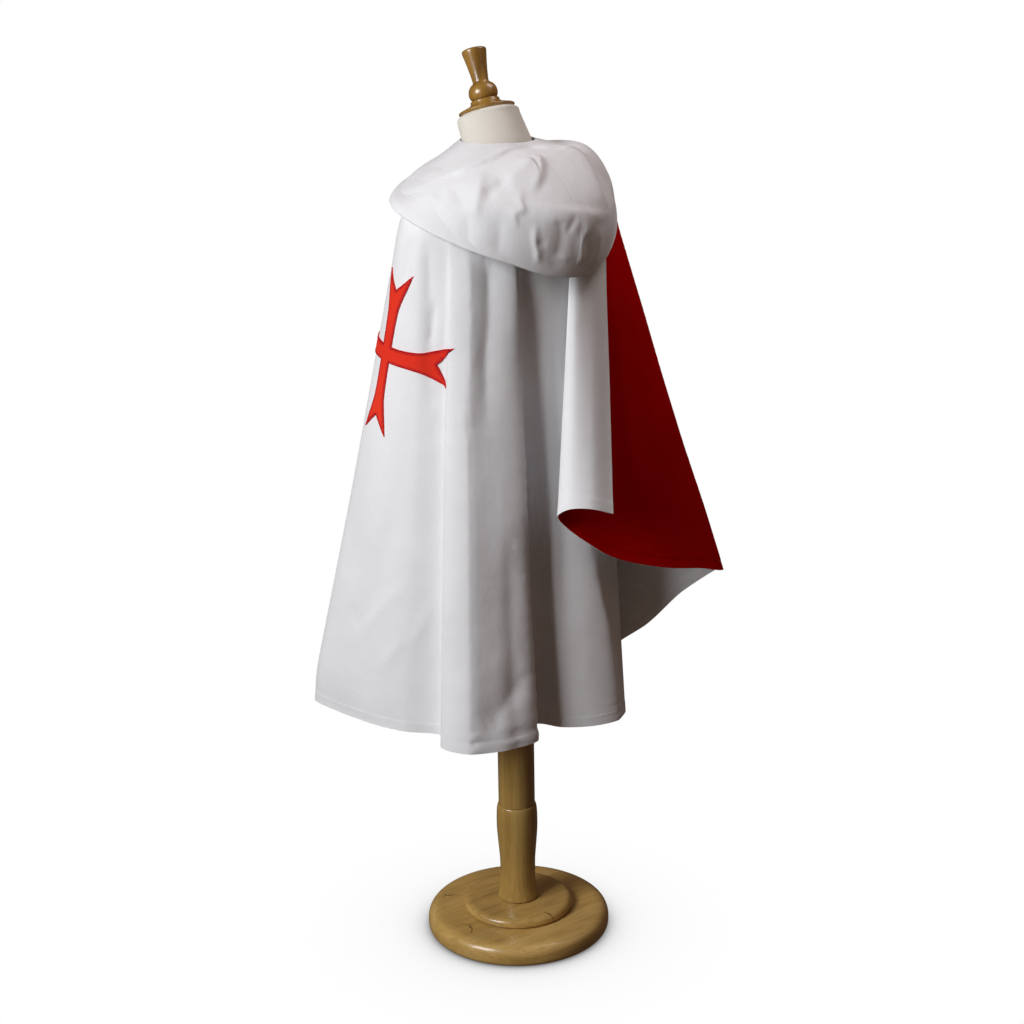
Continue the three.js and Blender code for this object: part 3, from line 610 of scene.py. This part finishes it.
# Each crease: its depth (out is plus) and its widths before and after its path, in millimetres,
# and the path in the cloth's own rows and shares.
CAPE_CREASES = [
    (3, 14, 9, [(12.05, 0.6), (12.1, 0.72), (12.05, 0.85), (12, 1), (12, 1.3)]),
    (-8, 9, 20, [(13.2, 0.6), (13.2, 0.72), (13.1, 0.85), (13.1, 1), (13.1, 1.3)]),
    (9, 55, 14, [(9.7, 0.7), (9.8, 0.8), (9.8, 0.9), (9.8, 1), (9.8, 1.3)]),
    (-6, 22, 26, [(11.1, 0.83), (11.1, 0.9), (11.1, 0.97), (11.1, 1.2)]),
    (-4, 9, 15, [(10.6, 0.55), (10.75, 0.65), (10.7, 0.69), (10.5, 0.73), (10.4, 0.79)]),
    (4, 18, 7, [(12, 0.54), (12.05, 0.6), (12.05, 0.66), (12, 0.74)]),
    (-3, 8, 8, [(7.3, 0.54), (7.35, 0.64), (7.4, 0.7), (7.5, 0.78)]),
    (-2.5, 6, 7, [(6.4, 0.54), (6.3, 0.62), (6.1, 0.68)]),
    (3.5, 20, 8, [(9.85, 0.54), (9.95, 0.65), (9.95, 0.72), (9.75, 0.8)]),
    (-2.5, 26, 24, [(6.8, 0.74), (6.7, 0.8), (6.2, 0.87), (5.8, 0.94), (5.6, 1.1)]),
    (1.8, 10, 7, [(5.1, 0.943), (5.8, 0.925), (6.5, 0.9), (7.1, 0.885)]),
    (1.6, 7, 7, [(6.2, 0.96), (6.6, 0.944), (7, 0.925)]),
    (1.4, 7, 6, [(7.05, 0.937), (7.35, 0.92), (7.6, 0.9)]),
    (-1.5, 8, 8, [(5.15, 0.91), (5.45, 0.925), (5.75, 0.937)]),
    (1.2, 3, 3, [(7.25, 0.774), (7.6, 0.764), (8, 0.753)]),
    (1.1, 3, 3, [(7.6, 0.776), (7.9, 0.766), (8.25, 0.76)]),
    (-2.5, 5, 4, [(7.45, 0.72), (7.5, 0.7), (7.6, 0.675)]),
    (-4, 14, 24, [(10, 0.99), (10.6, 0.972), (11.2, 0.957), (11.7, 0.945)]),
    (5, 22, 8, [(16.2, 0.84), (16.6, 0.9), (17, 0.95), (17.1, 1), (17.1, 1.3)]),
    (-3, 14, 14, [(15.2, 0.7), (15.3, 0.82), (15, 0.95)]),
    (2, 16, 16, [(14.9, 0.8), (14.8, 0.9), (14.7, 1), (14.7, 1.2)]),
    (-6, 9, 24, [(0.4, 1), (3, 1), (5, 1), (7.9, 1)]),
    (5, 20, 16, [(2, 0.74), (2.1, 0.85), (2, 0.95), (2, 1.2)]),
    (-6, 16, 20, [(3.1, 0.8), (3, 0.89), (3.1, 1), (3.1, 1.25)]),
    (-4, 12, 18, [(0.9, 0.64), (1, 0.78), (0.9, 0.92)]),
    (-3, 9, 9, [(18, 0.6), (18.1, 0.7), (18, 0.84)]),
    (4, 22, 18, [(21.6, 0.62), (21.7, 0.8), (21.5, 1), (21.5, 1.2)]),
    (-4, 20, 24, [(23, 0.66), (22.9, 0.84), (23, 1.1)]),
    (3, 16, 22, [(24.2, 0.64), (24.1, 0.8), (24.1, 0.95)]),
    (-2, 14, 14, [(27.5, 0.66), (27.4, 0.8), (27.5, 0.95)]),
]
FREE_SHARE = 4 / 6  # where the cloth leaves the shoulders
HEM_SHARE = 0.985
STEPS_ABOVE, STEPS_FREE, STEPS_IN_HEM = 54, 84, 16
cape_shares = np.concatenate([
    np.linspace(0, FREE_SHARE, STEPS_ABOVE),
    np.linspace(FREE_SHARE, HEM_SHARE, STEPS_FREE)[1:],
    np.linspace(HEM_SHARE, 1, STEPS_IN_HEM)[1:],
])
cape_rows = [body_row(*turn) for turn in BODY_TURNS] + [flap_row(*turn) for turn in FLAP_TURNS]
cape_seams = (LEFT_SEAM_ROW, RIGHT_SEAM_ROW)
cape_row_of = columns_of(len(cape_rows) - 1, STEPS_PER_ROW, cape_seams)
cape = draped(cape_rows, cape_row_of, cape_shares, CAPE_CREASES, cape_seams)
above_hem = np.linalg.norm(np.diff(cape, axis=1), axis=-1)[:, ::-1].cumsum(1)[:, ::-1]
above_hem = np.concatenate([above_hem, np.zeros((len(cape), 1))], 1)
in_hem = np.clip((HEM_DEPTH - above_hem) / HEM_EDGE + 0.5, 0, 1)
cape += ways_out(cape) * (in_hem * HEM_THICKENING)[..., None]
left_seam, right_seam = np.searchsorted(cape_row_of, cape_seams)
drill = cotton(
    "white_drill", [(0.76, 0.765, 0.78), (0.82, 0.825, 0.84)], thread=0.0008, crumple=0.0009,
    sheen=0.12)
for name, solid, panel, rests_on in (
    ("left_front", "cape_left_front", cape[: left_seam + 1], ["form_torso"]),
    ("back", "cape_back", cape[left_seam: right_seam + 1], ["form_torso"]),
    ("right_front", "cape_right_front", cape[right_seam:], ["form_torso", "cape_back"]),
):
    cloth_panel(name, solid, panel, (0, CLOTH), drill, rests_on)

# ---- Lining
# Plain deep red cotton, cut as the right front is and seamed to it all round.
# It lies against the drill and shows where that front is thrown back.
LINING_CLOTH = 1 * MM
LINING_DEPTH = CLOTH + FIT * MM
red_cotton = cotton(
    "red_cotton", [(0.42, 0.0006, 0.0006), (0.50, 0.001, 0.001)], thread=0.0006, crumple=0.0007,
    sheen=0, specular=0.02)
cloth_panel(
    "lining", "lining_right_front", cape[right_seam:],
    (LINING_DEPTH, LINING_DEPTH + LINING_CLOTH), red_cotton, ["right_front"])

# ---- Cross
# Bright red cotton with four equal arms that flare to forked ends. It is cut flat, laid on the
# left front and sewn down there round its edge.
ARM_SECTIONS = [  # distance from the middle, half width; the inner edge's distance and half width
    (11, 11, 0, 0), (28, 11, 28, 0), (45, 11.5, 45, 0), (62, 13, 62, 0), (78, 17.5, 84, 0),
    (92, 22, 95, 11), (110, 27, 110, 27),
]
CROSS_ROW, CROSS_SHARE = 5.5, 0.7222  # where on the cloth its middle lies
CROSS_DROP = 8  # mm below that
CROSS_TURN = 4  # degrees
CROSS_LEAN = 0.05  # how far its upright leans, for each millimetre down
CROSS_LIFT = FIT * MM
CROSS_THICKNESS = 1.2 * MM


def on_left_front(flat, distance):
    """Points of the flat cross, in millimetres to the back and down, put on the left front."""
    column = np.searchsorted(cape_row_of, CROSS_ROW)
    down_line = np.linalg.norm(np.diff(cape[column], axis=0), axis=-1)
    down_at = np.concatenate([[0], np.cumsum(down_line)])
    down_at -= np.interp(CROSS_SHARE, cape_shares, down_at)
    across = np.linalg.norm(np.diff(cape, axis=0), axis=-1)
    across_at = np.concatenate([np.zeros((1, cape.shape[1])), np.cumsum(across, axis=0)])
    across_at -= across_at[column]
    way = ways_out(cape)
    placed = []
    for to_back, down in flat:
        level = np.interp((down + CROSS_DROP) * MM, down_at, np.arange(len(down_at)))
        j = int(level)
        v = level - j
        line = across_at[:, j] * (1 - v) + across_at[:, j + 1] * v
        at = np.interp((to_back - CROSS_LEAN * down) * MM, line, np.arange(len(line)))
        i = int(at)
        u = at - i
        mix = [
            (g[i, j] * (1 - v) + g[i, j + 1] * v) * (1 - u)
            + (g[i + 1, j] * (1 - v) + g[i + 1, j + 1] * v) * u
            for g in (cape, way)
        ]
        placed.append(mix[0] + mix[1] * distance)
    return np.array(placed)


def cross_flat(steps_along=30, steps_across=8):
    """The flat cross: its points, its faces and its outline in order, in millimetres."""
    lines = smooth_line(np.array(ARM_SECTIONS, float), np.linspace(0, 1, steps_along))
    shares = np.linspace(0, 1, steps_across)
    points, faces, outline = [], [], []
    for facing in (0, 90, 180, 270):
        turn = math.radians(facing + CROSS_TURN)
        spin = np.array([[math.cos(turn), math.sin(turn)], [-math.sin(turn), math.cos(turn)]])
        edges = {}
        for side in (-1, 1):
            start = len(points)
            for along, half, inner_along, inner in lines:
                for share in shares:
                    x = inner_along + (along - inner_along) * share
                    y = side * (inner + (half - inner) * share)
                    points.append(np.array([x, y]) @ spin)
            faces.append(grid_faces(steps_along, steps_across, start)[:, ::side])
            grid = np.array(points[start:]).reshape(steps_along, steps_across, 2)
            edges[side] = (grid[:, -1], grid[:, 0])
        notch = lines[:, 3] > 0.01
        outline += list(edges[-1][0]) + list(edges[-1][1][notch][::-1])
        outline += list(edges[1][1][notch]) + list(edges[1][0][::-1])
    return np.array(points), np.concatenate(faces), np.array(outline)


def applied_wall(flat, faces, distance, thickness):
    """The closed wall over a flat shape that lies on the left front."""
    keys = [tuple(p) for p in np.round(flat, 3) + 0.0]
    places = {key: k for k, key in enumerate(dict.fromkeys(keys))}
    index = np.array([places[key] for key in keys])
    flat = np.array(list(places))
    faces = index[faces]
    count = len(flat)
    edges = dict.fromkeys(
        (a, b) for face in faces for a, b in zip(face, np.roll(face, -1)) if a != b)
    sides = [(a, a + count, b + count, b) for a, b in edges if (b, a) not in edges]
    over = [tuple(dict.fromkeys(face)) for face in faces.tolist()]
    under = [tuple(k + count for k in reversed(face)) for face in over]
    points = np.concatenate([
        on_left_front(flat, distance + thickness), on_left_front(flat, distance)])
    return points, over + under + sides, np.concatenate([flat, flat]) * MM


flat_cross, cross_faces, cross_outline = cross_flat()
cross_points, cross_walls, cross_map = applied_wall(
    flat_cross, cross_faces, CROSS_LIFT, CROSS_THICKNESS)
bright_cotton = cotton(
    "bright_cotton", [(0.70, 0.03, 0.014), (0.78, 0.042, 0.02)], thread=0.0007, crumple=0.0004,
    sheen=0, specular=0.08)
cross = new_piece(
    "applied_cross", cross_points, cross_walls, bright_cotton, cross_map,
    crease_angle=50)
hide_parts("cross")

# ---- Neck tab
# A short plain strap of the white drill, doubled, closes the neckline at the throat.
# Its ends are sewn down inside the two fronts.
TAB_DEPTH = 3
TAB_CLOTH = 1.4
TAB_TOP, TAB_FOOT = 1112, 1102
tab_turns = np.linspace(156, 204, 25)


def tab_grid(depth):
    """The tab's face at a depth in from the neckline."""
    half, behind, front, shift = NECKLINE
    lines = [on_oval(tab_turns, half - depth, behind, front - depth, shift, height)
             for height in np.linspace(TAB_TOP, TAB_FOOT, 6)]
    return np.stack(lines, 1) * MM


tab_points, tab_faces = wall(tab_grid(TAB_DEPTH), tab_grid(TAB_DEPTH + TAB_CLOTH))
tab_map = cloth_map(tab_grid(TAB_DEPTH)).reshape(-1, 2)
tab = new_piece(
    "throat_tab", tab_points, tab_faces, drill, np.concatenate([tab_map, tab_map]))
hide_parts("neck_tab")

# ---- Hood
# Two halves of the white drill, lined with themselves, are seamed over the crown. The hood lies
# down flat on the back as a soft bag, with the band at its mouth turned over.
HOOD_SEAM_HEIGHT = NECKLINE_HEIGHT + 0.7
HOOD_MOUTH = (49, 50, 50, -19)
HOOD_MOUTH_HEIGHT = 1133
HOOD_CLOTH = 1.6 * MM
HOOD_CENTRE_ROW = 8
HOOD_STEPS_PER_ROW = 18
HOOD_LEVELS = 190
RIM_SHARE = 0.15  # how far in from the fold its roll starts
RIM_ROLL = 3
# Each line of the hood: its degrees, with its distance out and height where it leaves the neck.
# Then degrees, out and height where it lies on the back, turns, is highest and starts its band.
HOOD_TURNS = [
    (172, (80, 1110), (172, 88, 1104), (172, 95, 1101), (172, 88, 1110), (172, 76, 1118)),
    (150, (88, 1105), (150, 102, 1096), (150, 113, 1090), (150, 102, 1104), (150, 84, 1117)),
    (125, (98, 1102), (124, 122, 1087), (122, 143, 1073), (124, 121, 1094), (125, 93, 1110)),
    (100, (108, 1100), (98, 138, 1078), (96, 166, 1062), (100, 138, 1081), (102, 104, 1102)),
    (80, (108, 1100), (78, 143, 1074), (76, 165, 1043), (80, 141, 1079), (84, 104, 1102)),
    (58, (101, 1100), (56, 134, 1066), (54, 156, 1018), (56, 143, 1076), (62, 98, 1110)),
    (36, (92, 1100), (35, 122, 1060), (34, 145, 998), (34, 145, 1064), (38, 90, 1114)),
    (18, (87, 1100), (17, 117, 1056), (17, 139, 982), (16, 147, 1054), (18, 84, 1118)),
    (0, (90, 1101), (0, 120, 1053), (0, 137, 974), (-1, 150, 1050), (0, 82, 1120)),
    (-18, (96, 1103), (-18, 123, 1056), (-17, 138, 976), (-18, 150, 1050), (-20, 86, 1121)),
    (-36, (102, 1106), (-36, 126, 1064), (-34, 138, 992), (-36, 143, 1056), (-40, 92, 1120)),
    (-58, (108, 1114), (-58, 134, 1078), (-57, 143, 1019), (-58, 134, 1071), (-62, 96, 1114)),
    (-80, (111, 1120), (-79, 138, 1089), (-78, 151, 1054), (-80, 132, 1087), (-84, 99, 1115)),
    (-100, (111, 1120), (-100, 137, 1100), (-98, 155, 1078), (-100, 132, 1101),
     (-102, 101, 1117)),
    (-125, (102, 1117), (-125, 122, 1108), (-124, 138, 1098), (-125, 120, 1113),
     (-125, 96, 1122)),
    (-150, (86, 1119), (-150, 104, 1112), (-150, 118, 1104), (-150, 104, 1116),
     (-150, 86, 1123)),
    (-172, (74, 1118), (-172, 88, 1110), (-172, 98, 1105), (-172, 90, 1114),
     (-172, 78, 1122)),
]


def hood_row(turn, under, lie, rim, top, band):
    """A line of the hood, from its seam under the fold and over it to its mouth."""
    lie, rim = polar(*lie), polar(*rim)
    inside = rim + (lie - rim) * RIM_SHARE + (0, 0, RIM_ROLL)
    return [
        on_oval(turn, *NECKLINE, HOOD_SEAM_HEIGHT), polar(turn, *under), lie, inside, rim,
        polar(*top), polar(*band), on_oval(turn, *HOOD_MOUTH, HOOD_MOUTH_HEIGHT),
    ]


HOOD_CREASES = [  # as the cape's
    (1.5, 16, 7, [(2.5, 0.6), (2.96, 0.7), (3.92, 0.812), (4.6, 0.845)]),
    (4.2, 20, 2.6, [(3.4, 0.75), (4.3, 0.835), (4.79, 0.85), (5.67, 0.897), (6.29, 0.93),
                    (7.17, 0.945), (8.4, 0.95)]),
    (3.6, 12, 3.2, [(7.9, 0.945), (8.67, 0.912), (9.17, 0.895), (9.58, 0.872), (10.2, 0.845)]),
    (6, 22, 6, [(9.35, 0.69), (9.29, 0.752), (9.58, 0.8), (9.95, 0.85), (10.1, 0.9)]),
    (4.2, 16, 13, [(5.8, 0.79), (6.4, 0.82), (6.9, 0.845), (7.3, 0.87)]),
    (3.8, 16, 3.6, [(6.6, 0.765), (7, 0.795), (7.35, 0.82), (7.65, 0.85), (7.8, 0.88)]),
    (2.2, 7, 3.5, [(6.2, 0.665), (6.08, 0.704), (6.33, 0.732), (6.29, 0.747), (6.5, 0.785)]),
    (3.2, 4, 18, [(6.2, 0.755), (6.96, 0.742), (7.54, 0.734), (8.17, 0.727), (8.79, 0.717),
                  (9.5, 0.7)]),
    (2.2, 3.6, 4.2, [(6.76, 0.61), (6.71, 0.639), (6.62, 0.669), (6.68, 0.705)]),
    (-1.2, 3, 3, [(6.65, 0.662), (6.78, 0.66), (7, 0.668)]),
    (2.6, 5, 3.6, [(8, 0.622), (8.17, 0.639), (8.08, 0.667), (8.25, 0.692), (8.1, 0.725)]),
    (-1.6, 3.5, 3.5, [(7.55, 0.68), (7.72, 0.702), (7.92, 0.725)]),
    (1.2, 3.5, 3.5, [(7.15, 0.632), (7.45, 0.637), (7.8, 0.634)]),
    (-2.6, 10, 10, [(5, 0.68), (4.75, 0.735), (4.5, 0.785)]),
    (3, 10, 5, [(5.18, 0.66), (5.24, 0.72), (5.29, 0.76), (5.36, 0.86)]),
    (-2.6, 6, 8, [(5.42, 0.72), (5.55, 0.765), (5.8, 0.79), (6.05, 0.82)]),
    (-1.6, 7, 8, [(4.5, 0.69), (4.2, 0.75), (4, 0.795)]),
    (-1.6, 7, 7, [(4.95, 0.6), (5, 0.64), (5, 0.69)]),
    (-1.6, 8, 8, [(5.65, 0.6), (5.7, 0.65), (5.75, 0.7)]),
    (-1.8, 10, 10, [(3.2, 0.62), (3.5, 0.68), (3.7, 0.74)]),
    (-2.2, 9, 9, [(7.2, 0.6), (7.4, 0.68), (7.3, 0.72)]),
    (2.4, 10, 9, [(8.7, 0.6), (8.8, 0.65), (8.7, 0.7)]),
    (-3, 8, 12, [(10.8, 0.6), (11, 0.7), (11.3, 0.82)]),
    (3, 10, 8, [(12.2, 0.6), (12.5, 0.7), (12.4, 0.82)]),
    (-3, 8, 8, [(13.8, 0.62), (13.6, 0.72), (13.5, 0.82)]),
]
hood_row_of = columns_of(len(HOOD_TURNS) - 1, HOOD_STEPS_PER_ROW, [HOOD_CENTRE_ROW])
hood = draped(
    [hood_row(*turn) for turn in HOOD_TURNS], hood_row_of, np.linspace(0, 1, HOOD_LEVELS),
    HOOD_CREASES, [HOOD_CENTRE_ROW], -1)
hood_centre = np.searchsorted(hood_row_of, HOOD_CENTRE_ROW)
for name, solid, half, front in (
    ("left_hood", "hood_left", hood[: hood_centre + 1], "left_front"),
    ("right_hood", "hood_right", hood[hood_centre:], "right_front"),
):
    cloth_panel(
        name, solid, half, (0, -HOOD_CLOTH), drill, [front, "back"])

# ---- Stitching
# The hems and the hood's mouth are sewn with a white lockstitch, half sunk in the cloth. The cross
# is edged all round with close crimson satin stitches across its cut edge, and held by a line of
# dark red lockstitches just inside them.
LOCKSTITCH = (3.0 * MM, (2.3 * MM, 0.55 * MM, 0.55 * MM))  # pitch, then along, across and high
SATIN_STITCH = (0.8 * MM, (0.75 * MM, 2.7 * MM, 0.5 * MM))
CROSS_LOCKSTITCH = (2.6 * MM, (2.3 * MM, 0.95 * MM, 0.6 * MM))
UNEVEN_SIZE = (0.88, 1.08)
FRONT_HEM = 12 * MM
FRONT_LEVELS = slice(20, -9)  # of the front's hem: from under the hood to the lower hem
MOUTH_LEVEL = -8  # of the hood, from the edge of its mouth
CROSS_STITCH_INSET = 3.4  # mm
CROSS_EDGING_INSET = 1.2
STEPS_PER_EDGE = 6
CLEAR_SHARE = 0.95  # of the inset, that a line keeps clear of every edge


def stitch_tree():
    """Geometry nodes that lay a row of stitches along each line of a mesh of edges."""
    tree = bpy.data.node_groups.new("row_of_stitches", "GeometryNodeTree")
    sockets = {}
    for label, kind in (("Lines", "Geometry"), ("Pitch", "Float"), ("Stitch", "Vector"),
                        ("Material", "Material")):
        sockets[label] = tree.interface.new_socket(
            label, in_out="INPUT", socket_type="NodeSocket" + kind).identifier
    tree.interface.new_socket("Stitches", in_out="OUTPUT", socket_type="NodeSocketGeometry")
    node = tree.nodes.new
    into, out = node("NodeGroupInput"), node("NodeGroupOutput")
    line = node("GeometryNodeMeshToCurve")
    spaced = node("GeometryNodeResampleCurve")
    spaced.mode = "LENGTH"
    tangent = node("GeometryNodeInputTangent")
    along = node("FunctionNodeAlignRotationToVector")
    along.axis = "X"
    way = node("GeometryNodeInputNamedAttribute")
    way.data_type = "FLOAT_VECTOR"
    way.inputs["Name"].default_value = "way"
    flat = node("FunctionNodeAlignRotationToVector")
    flat.axis, flat.pivot_axis = "Z", "X"
    bead = node("GeometryNodeMeshIcoSphere")
    set_inputs(bead, {"Radius": 0.5, "Subdivisions": 1})
    uneven = node("FunctionNodeRandomValue")
    uneven.inputs[2].default_value, uneven.inputs[3].default_value = UNEVEN_SIZE
    uneven.inputs["Seed"].default_value = 7
    size = node("ShaderNodeVectorMath")
    size.operation = "SCALE"
    placed = node("GeometryNodeInstanceOnPoints")
    real = node("GeometryNodeRealizeInstances")
    finish = node("GeometryNodeSetMaterial")
    for source, result, target, value in (
        (into, "Lines", line, "Mesh"),
        (line, "Curve", spaced, "Curve"),
        (into, "Pitch", spaced, "Length"),
        (spaced, "Curve", placed, "Points"),
        (tangent, "Tangent", along, "Vector"),
        (along, "Rotation", flat, "Rotation"),
        (way, "Attribute", flat, "Vector"),
        (flat, "Rotation", placed, "Rotation"),
        (bead, "Mesh", placed, "Instance"),
        (into, "Stitch", size, 0),
        (uneven, 1, size, "Scale"),
        (size, "Vector", placed, "Scale"),
        (placed, "Instances", real, "Geometry"),
        (real, "Geometry", finish, "Geometry"),
        (into, "Material", finish, "Material"),
        (finish, "Geometry", out, "Stitches"),
    ):
        tree.links.new(source.outputs[result], target.inputs[value])
    return tree, sockets


stitches_tree, stitch_sockets = stitch_tree()


def sewn(name, lines, stitch, material):
    """Rows of stitches along lines of (point, way out of the cloth). stitch is its pitch and its
    size along, across and high."""
    points, ways, edges = [], [], []
    for line in lines:
        edges += [(len(points) + k, len(points) + k + 1) for k in range(len(line) - 1)]
        points += [tuple(point) for point, way in line]
        ways += [way for point, way in line]
    mesh = bpy.data.meshes.new(name)
    mesh.from_pydata(points, edges, [])
    mesh.attributes.new("way", "FLOAT_VECTOR", "POINT").data.foreach_set(
        "vector", np.array(ways, np.float32).ravel())
    piece = bpy.data.objects.new(name, mesh)
    bpy.context.scene.collection.objects.link(piece)
    rows = piece.modifiers.new("stitches", "NODES")
    rows.node_group = stitches_tree
    rows[stitch_sockets["Pitch"]] = stitch[0]
    rows[stitch_sockets["Stitch"]] = stitch[1]
    rows[stitch_sockets["Material"]] = material
    evaluated = piece.evaluated_get(bpy.context.evaluated_depsgraph_get())
    stitches = bpy.data.meshes.new_from_object(evaluated)
    piece.modifiers.remove(rows)
    piece.data = stitches
    stitches.shade_smooth()
    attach(piece, "root")


def thread(name, colour):
    """Twisted sewing thread."""
    material, node, link, shader = nodes_of(name)
    place = node("ShaderNodeTexCoord").outputs["Object"]
    twist = noise(node, link, place, Scale=2200.0, Detail=1.0)["Fac"]
    darker = tuple(part * 0.85 for part in colour)
    tone = ramp_of(node, link, twist, [(0.3, darker), (0.7, colour)])
    link(tone, shader.inputs["Base Color"])
    set_inputs(shader, {"Roughness": 0.6, "Specular IOR Level": 0.1})
    return material


def line_on(grid, depths, depth):
    """The line where a grid's columns reach a depth: each point, and the way out there."""
    way = ways_out(grid)
    line = []
    for column, ways, down in zip(grid, way, depths):
        at = np.interp(depth, down, np.arange(len(down)))
        j = min(int(at), len(down) - 2)
        line.append([g[j] * (1 - at + j) + g[j + 1] * (at - j) for g in (column, ways)])
    return line


white_thread = thread("white_thread", (0.78, 0.78, 0.80))
hem_line = line_on(cape, -above_hem, -HEM_DEPTH)
front_grid = cape[1: STEPS_PER_ROW * 2].transpose(1, 0, 2)
from_front = np.linalg.norm(np.diff(cape[: STEPS_PER_ROW * 2], axis=0), axis=-1).cumsum(0)
front_line = [
    (point, -way) for point, way in line_on(front_grid, from_front.T, FRONT_HEM)[FRONT_LEVELS]]
mouth_line = list(zip(hood[:, MOUTH_LEVEL], -ways_out(hood)[:, MOUTH_LEVEL]))
sewn("hem_stitches", [
    hem_line[: left_seam + 1], hem_line[left_seam: right_seam + 1], hem_line[right_seam:],
    front_line, mouth_line,
], LOCKSTITCH, white_thread)


def inside_cross(inset):
    """A closed line on the cross, inside its outline by an inset in millimetres."""
    along = np.roll(cross_outline, -1, 0) - cross_outline
    length = np.maximum(np.linalg.norm(along, axis=1, keepdims=True), 1e-6)
    inwards = np.stack([-along[:, 1], along[:, 0]], 1) / length
    x, y = cross_outline.T
    if (x * np.roll(y, -1) - y * np.roll(x, -1)).sum() < 0:
        inwards = -inwards
    steps = np.linspace(0, 1, STEPS_PER_EDGE, endpoint=False)[:, None]
    line = ((cross_outline + inwards * inset)[:, None] + along[:, None] * steps).reshape(-1, 2)
    reach = line[:, None] - cross_outline
    share = np.clip((reach * along).sum(-1) / length[:, 0] ** 2, 0, 1)
    clearance = np.linalg.norm(reach - share[..., None] * along, axis=-1).min(1)
    line = line[clearance > inset * CLEAR_SHARE]
    line = np.vstack([line, line[:1]])
    top = CROSS_LIFT + CROSS_THICKNESS
    points, above = on_left_front(line, top), on_left_front(line, top + MM)
    return list(zip(points, (above - points) / MM))


crimson_thread = thread("crimson_thread", (0.46, 0.004, 0.022))
red_thread = thread("red_thread", (0.20, 0.002, 0.008))
sewn(
    "cross_edging", [inside_cross(CROSS_EDGING_INSET)], SATIN_STITCH, crimson_thread)
sewn(
    "cross_stitches", [inside_cross(CROSS_STITCH_INSET)], CROSS_LOCKSTITCH, red_thread)

# ---- Floor and light
# A white floor of paper runs far behind the part. It glows evenly white, takes no light from the
# lamps, and is painted grey round the stand as painted shade. A wide soft lamp stands high on the
# wearer's left. Two weak ones, a little warmer, stand over the right shoulder and behind it.
FLOOR_REACH = 40
floor_mesh = bpy.data.meshes.new("floor")
floor_mesh.from_pydata([
    (-FLOOR_REACH, -FLOOR_REACH, 0), (FLOOR_REACH, -FLOOR_REACH, 0),
    (FLOOR_REACH, FLOOR_REACH, 0), (-FLOOR_REACH, FLOOR_REACH, 0),
], [], [(0, 1, 2, 3)])
floor = bpy.data.objects.new("floor", floor_mesh)
bpy.context.scene.collection.objects.link(floor)
paper, node, link, shader = nodes_of("floor_with_painted_shade")
# Painted shade: ambient occlusion turns the glowing floor grey close to the stand, a painted
# contact shadow.
shade = node("ShaderNodeAmbientOcclusion", Distance=0.3)
painted_floor_shade = ramp_of(node, link, shade.outputs["AO"], [
    (open_share, (painted_grey, painted_grey, painted_grey))
    for open_share, painted_grey in ((0.0, 0.10), (0.5, 0.38), (0.75, 0.72), (0.9, 0.92), (1.0, 1.0))
])
link(painted_floor_shade, shader.inputs["Emission Color"])
set_inputs(shader, {
    "Emission Strength": 1, "Base Color": (0, 0, 0, 1), "Specular IOR Level": 0})
floor_mesh.materials.append(paper)
floor.visible_diffuse = False
floor.visible_glossy = False


def soft_lamp(name, place, size, watts, colour, target=(0, 0, 0.8)):
    """A rectangular lamp that faces its target."""
    lamp = bpy.data.objects.new(name, bpy.data.lights.new(name, "AREA"))
    lamp.data.shape = "RECTANGLE"
    lamp.data.size, lamp.data.size_y = size
    lamp.data.energy = watts
    lamp.data.color = colour
    lamp.location = place
    lamp.rotation_euler = (Vector(target) - Vector(place)).to_track_quat("-Z", "Y").to_euler()
    bpy.context.scene.collection.objects.link(lamp)


soft_lamp("key", (2.4, 0.2, 1.85), (1.2, 1.2), 70, (0.965, 0.975, 1.0))
soft_lamp("top", (-0.55, 0.25, 2.0), (0.6, 0.6), 5.5, (1.0, 0.92, 0.92), (0, 0, 1.0))
soft_lamp("fill", (-0.9, 1.6, 2.1), (1.0, 1.0), 1.4, (1.0, 0.74, 0.62), (0, 0, 0.9))
world = bpy.data.worlds.new("studio")
world.use_nodes = True
set_inputs(
    world.node_tree.nodes["Background"], {"Color": (1.0, 0.66, 0.50, 1), "Strength": 0.07})
bpy.context.scene.world = world
bpy.context.scene.view_settings.view_transform = "Standard"
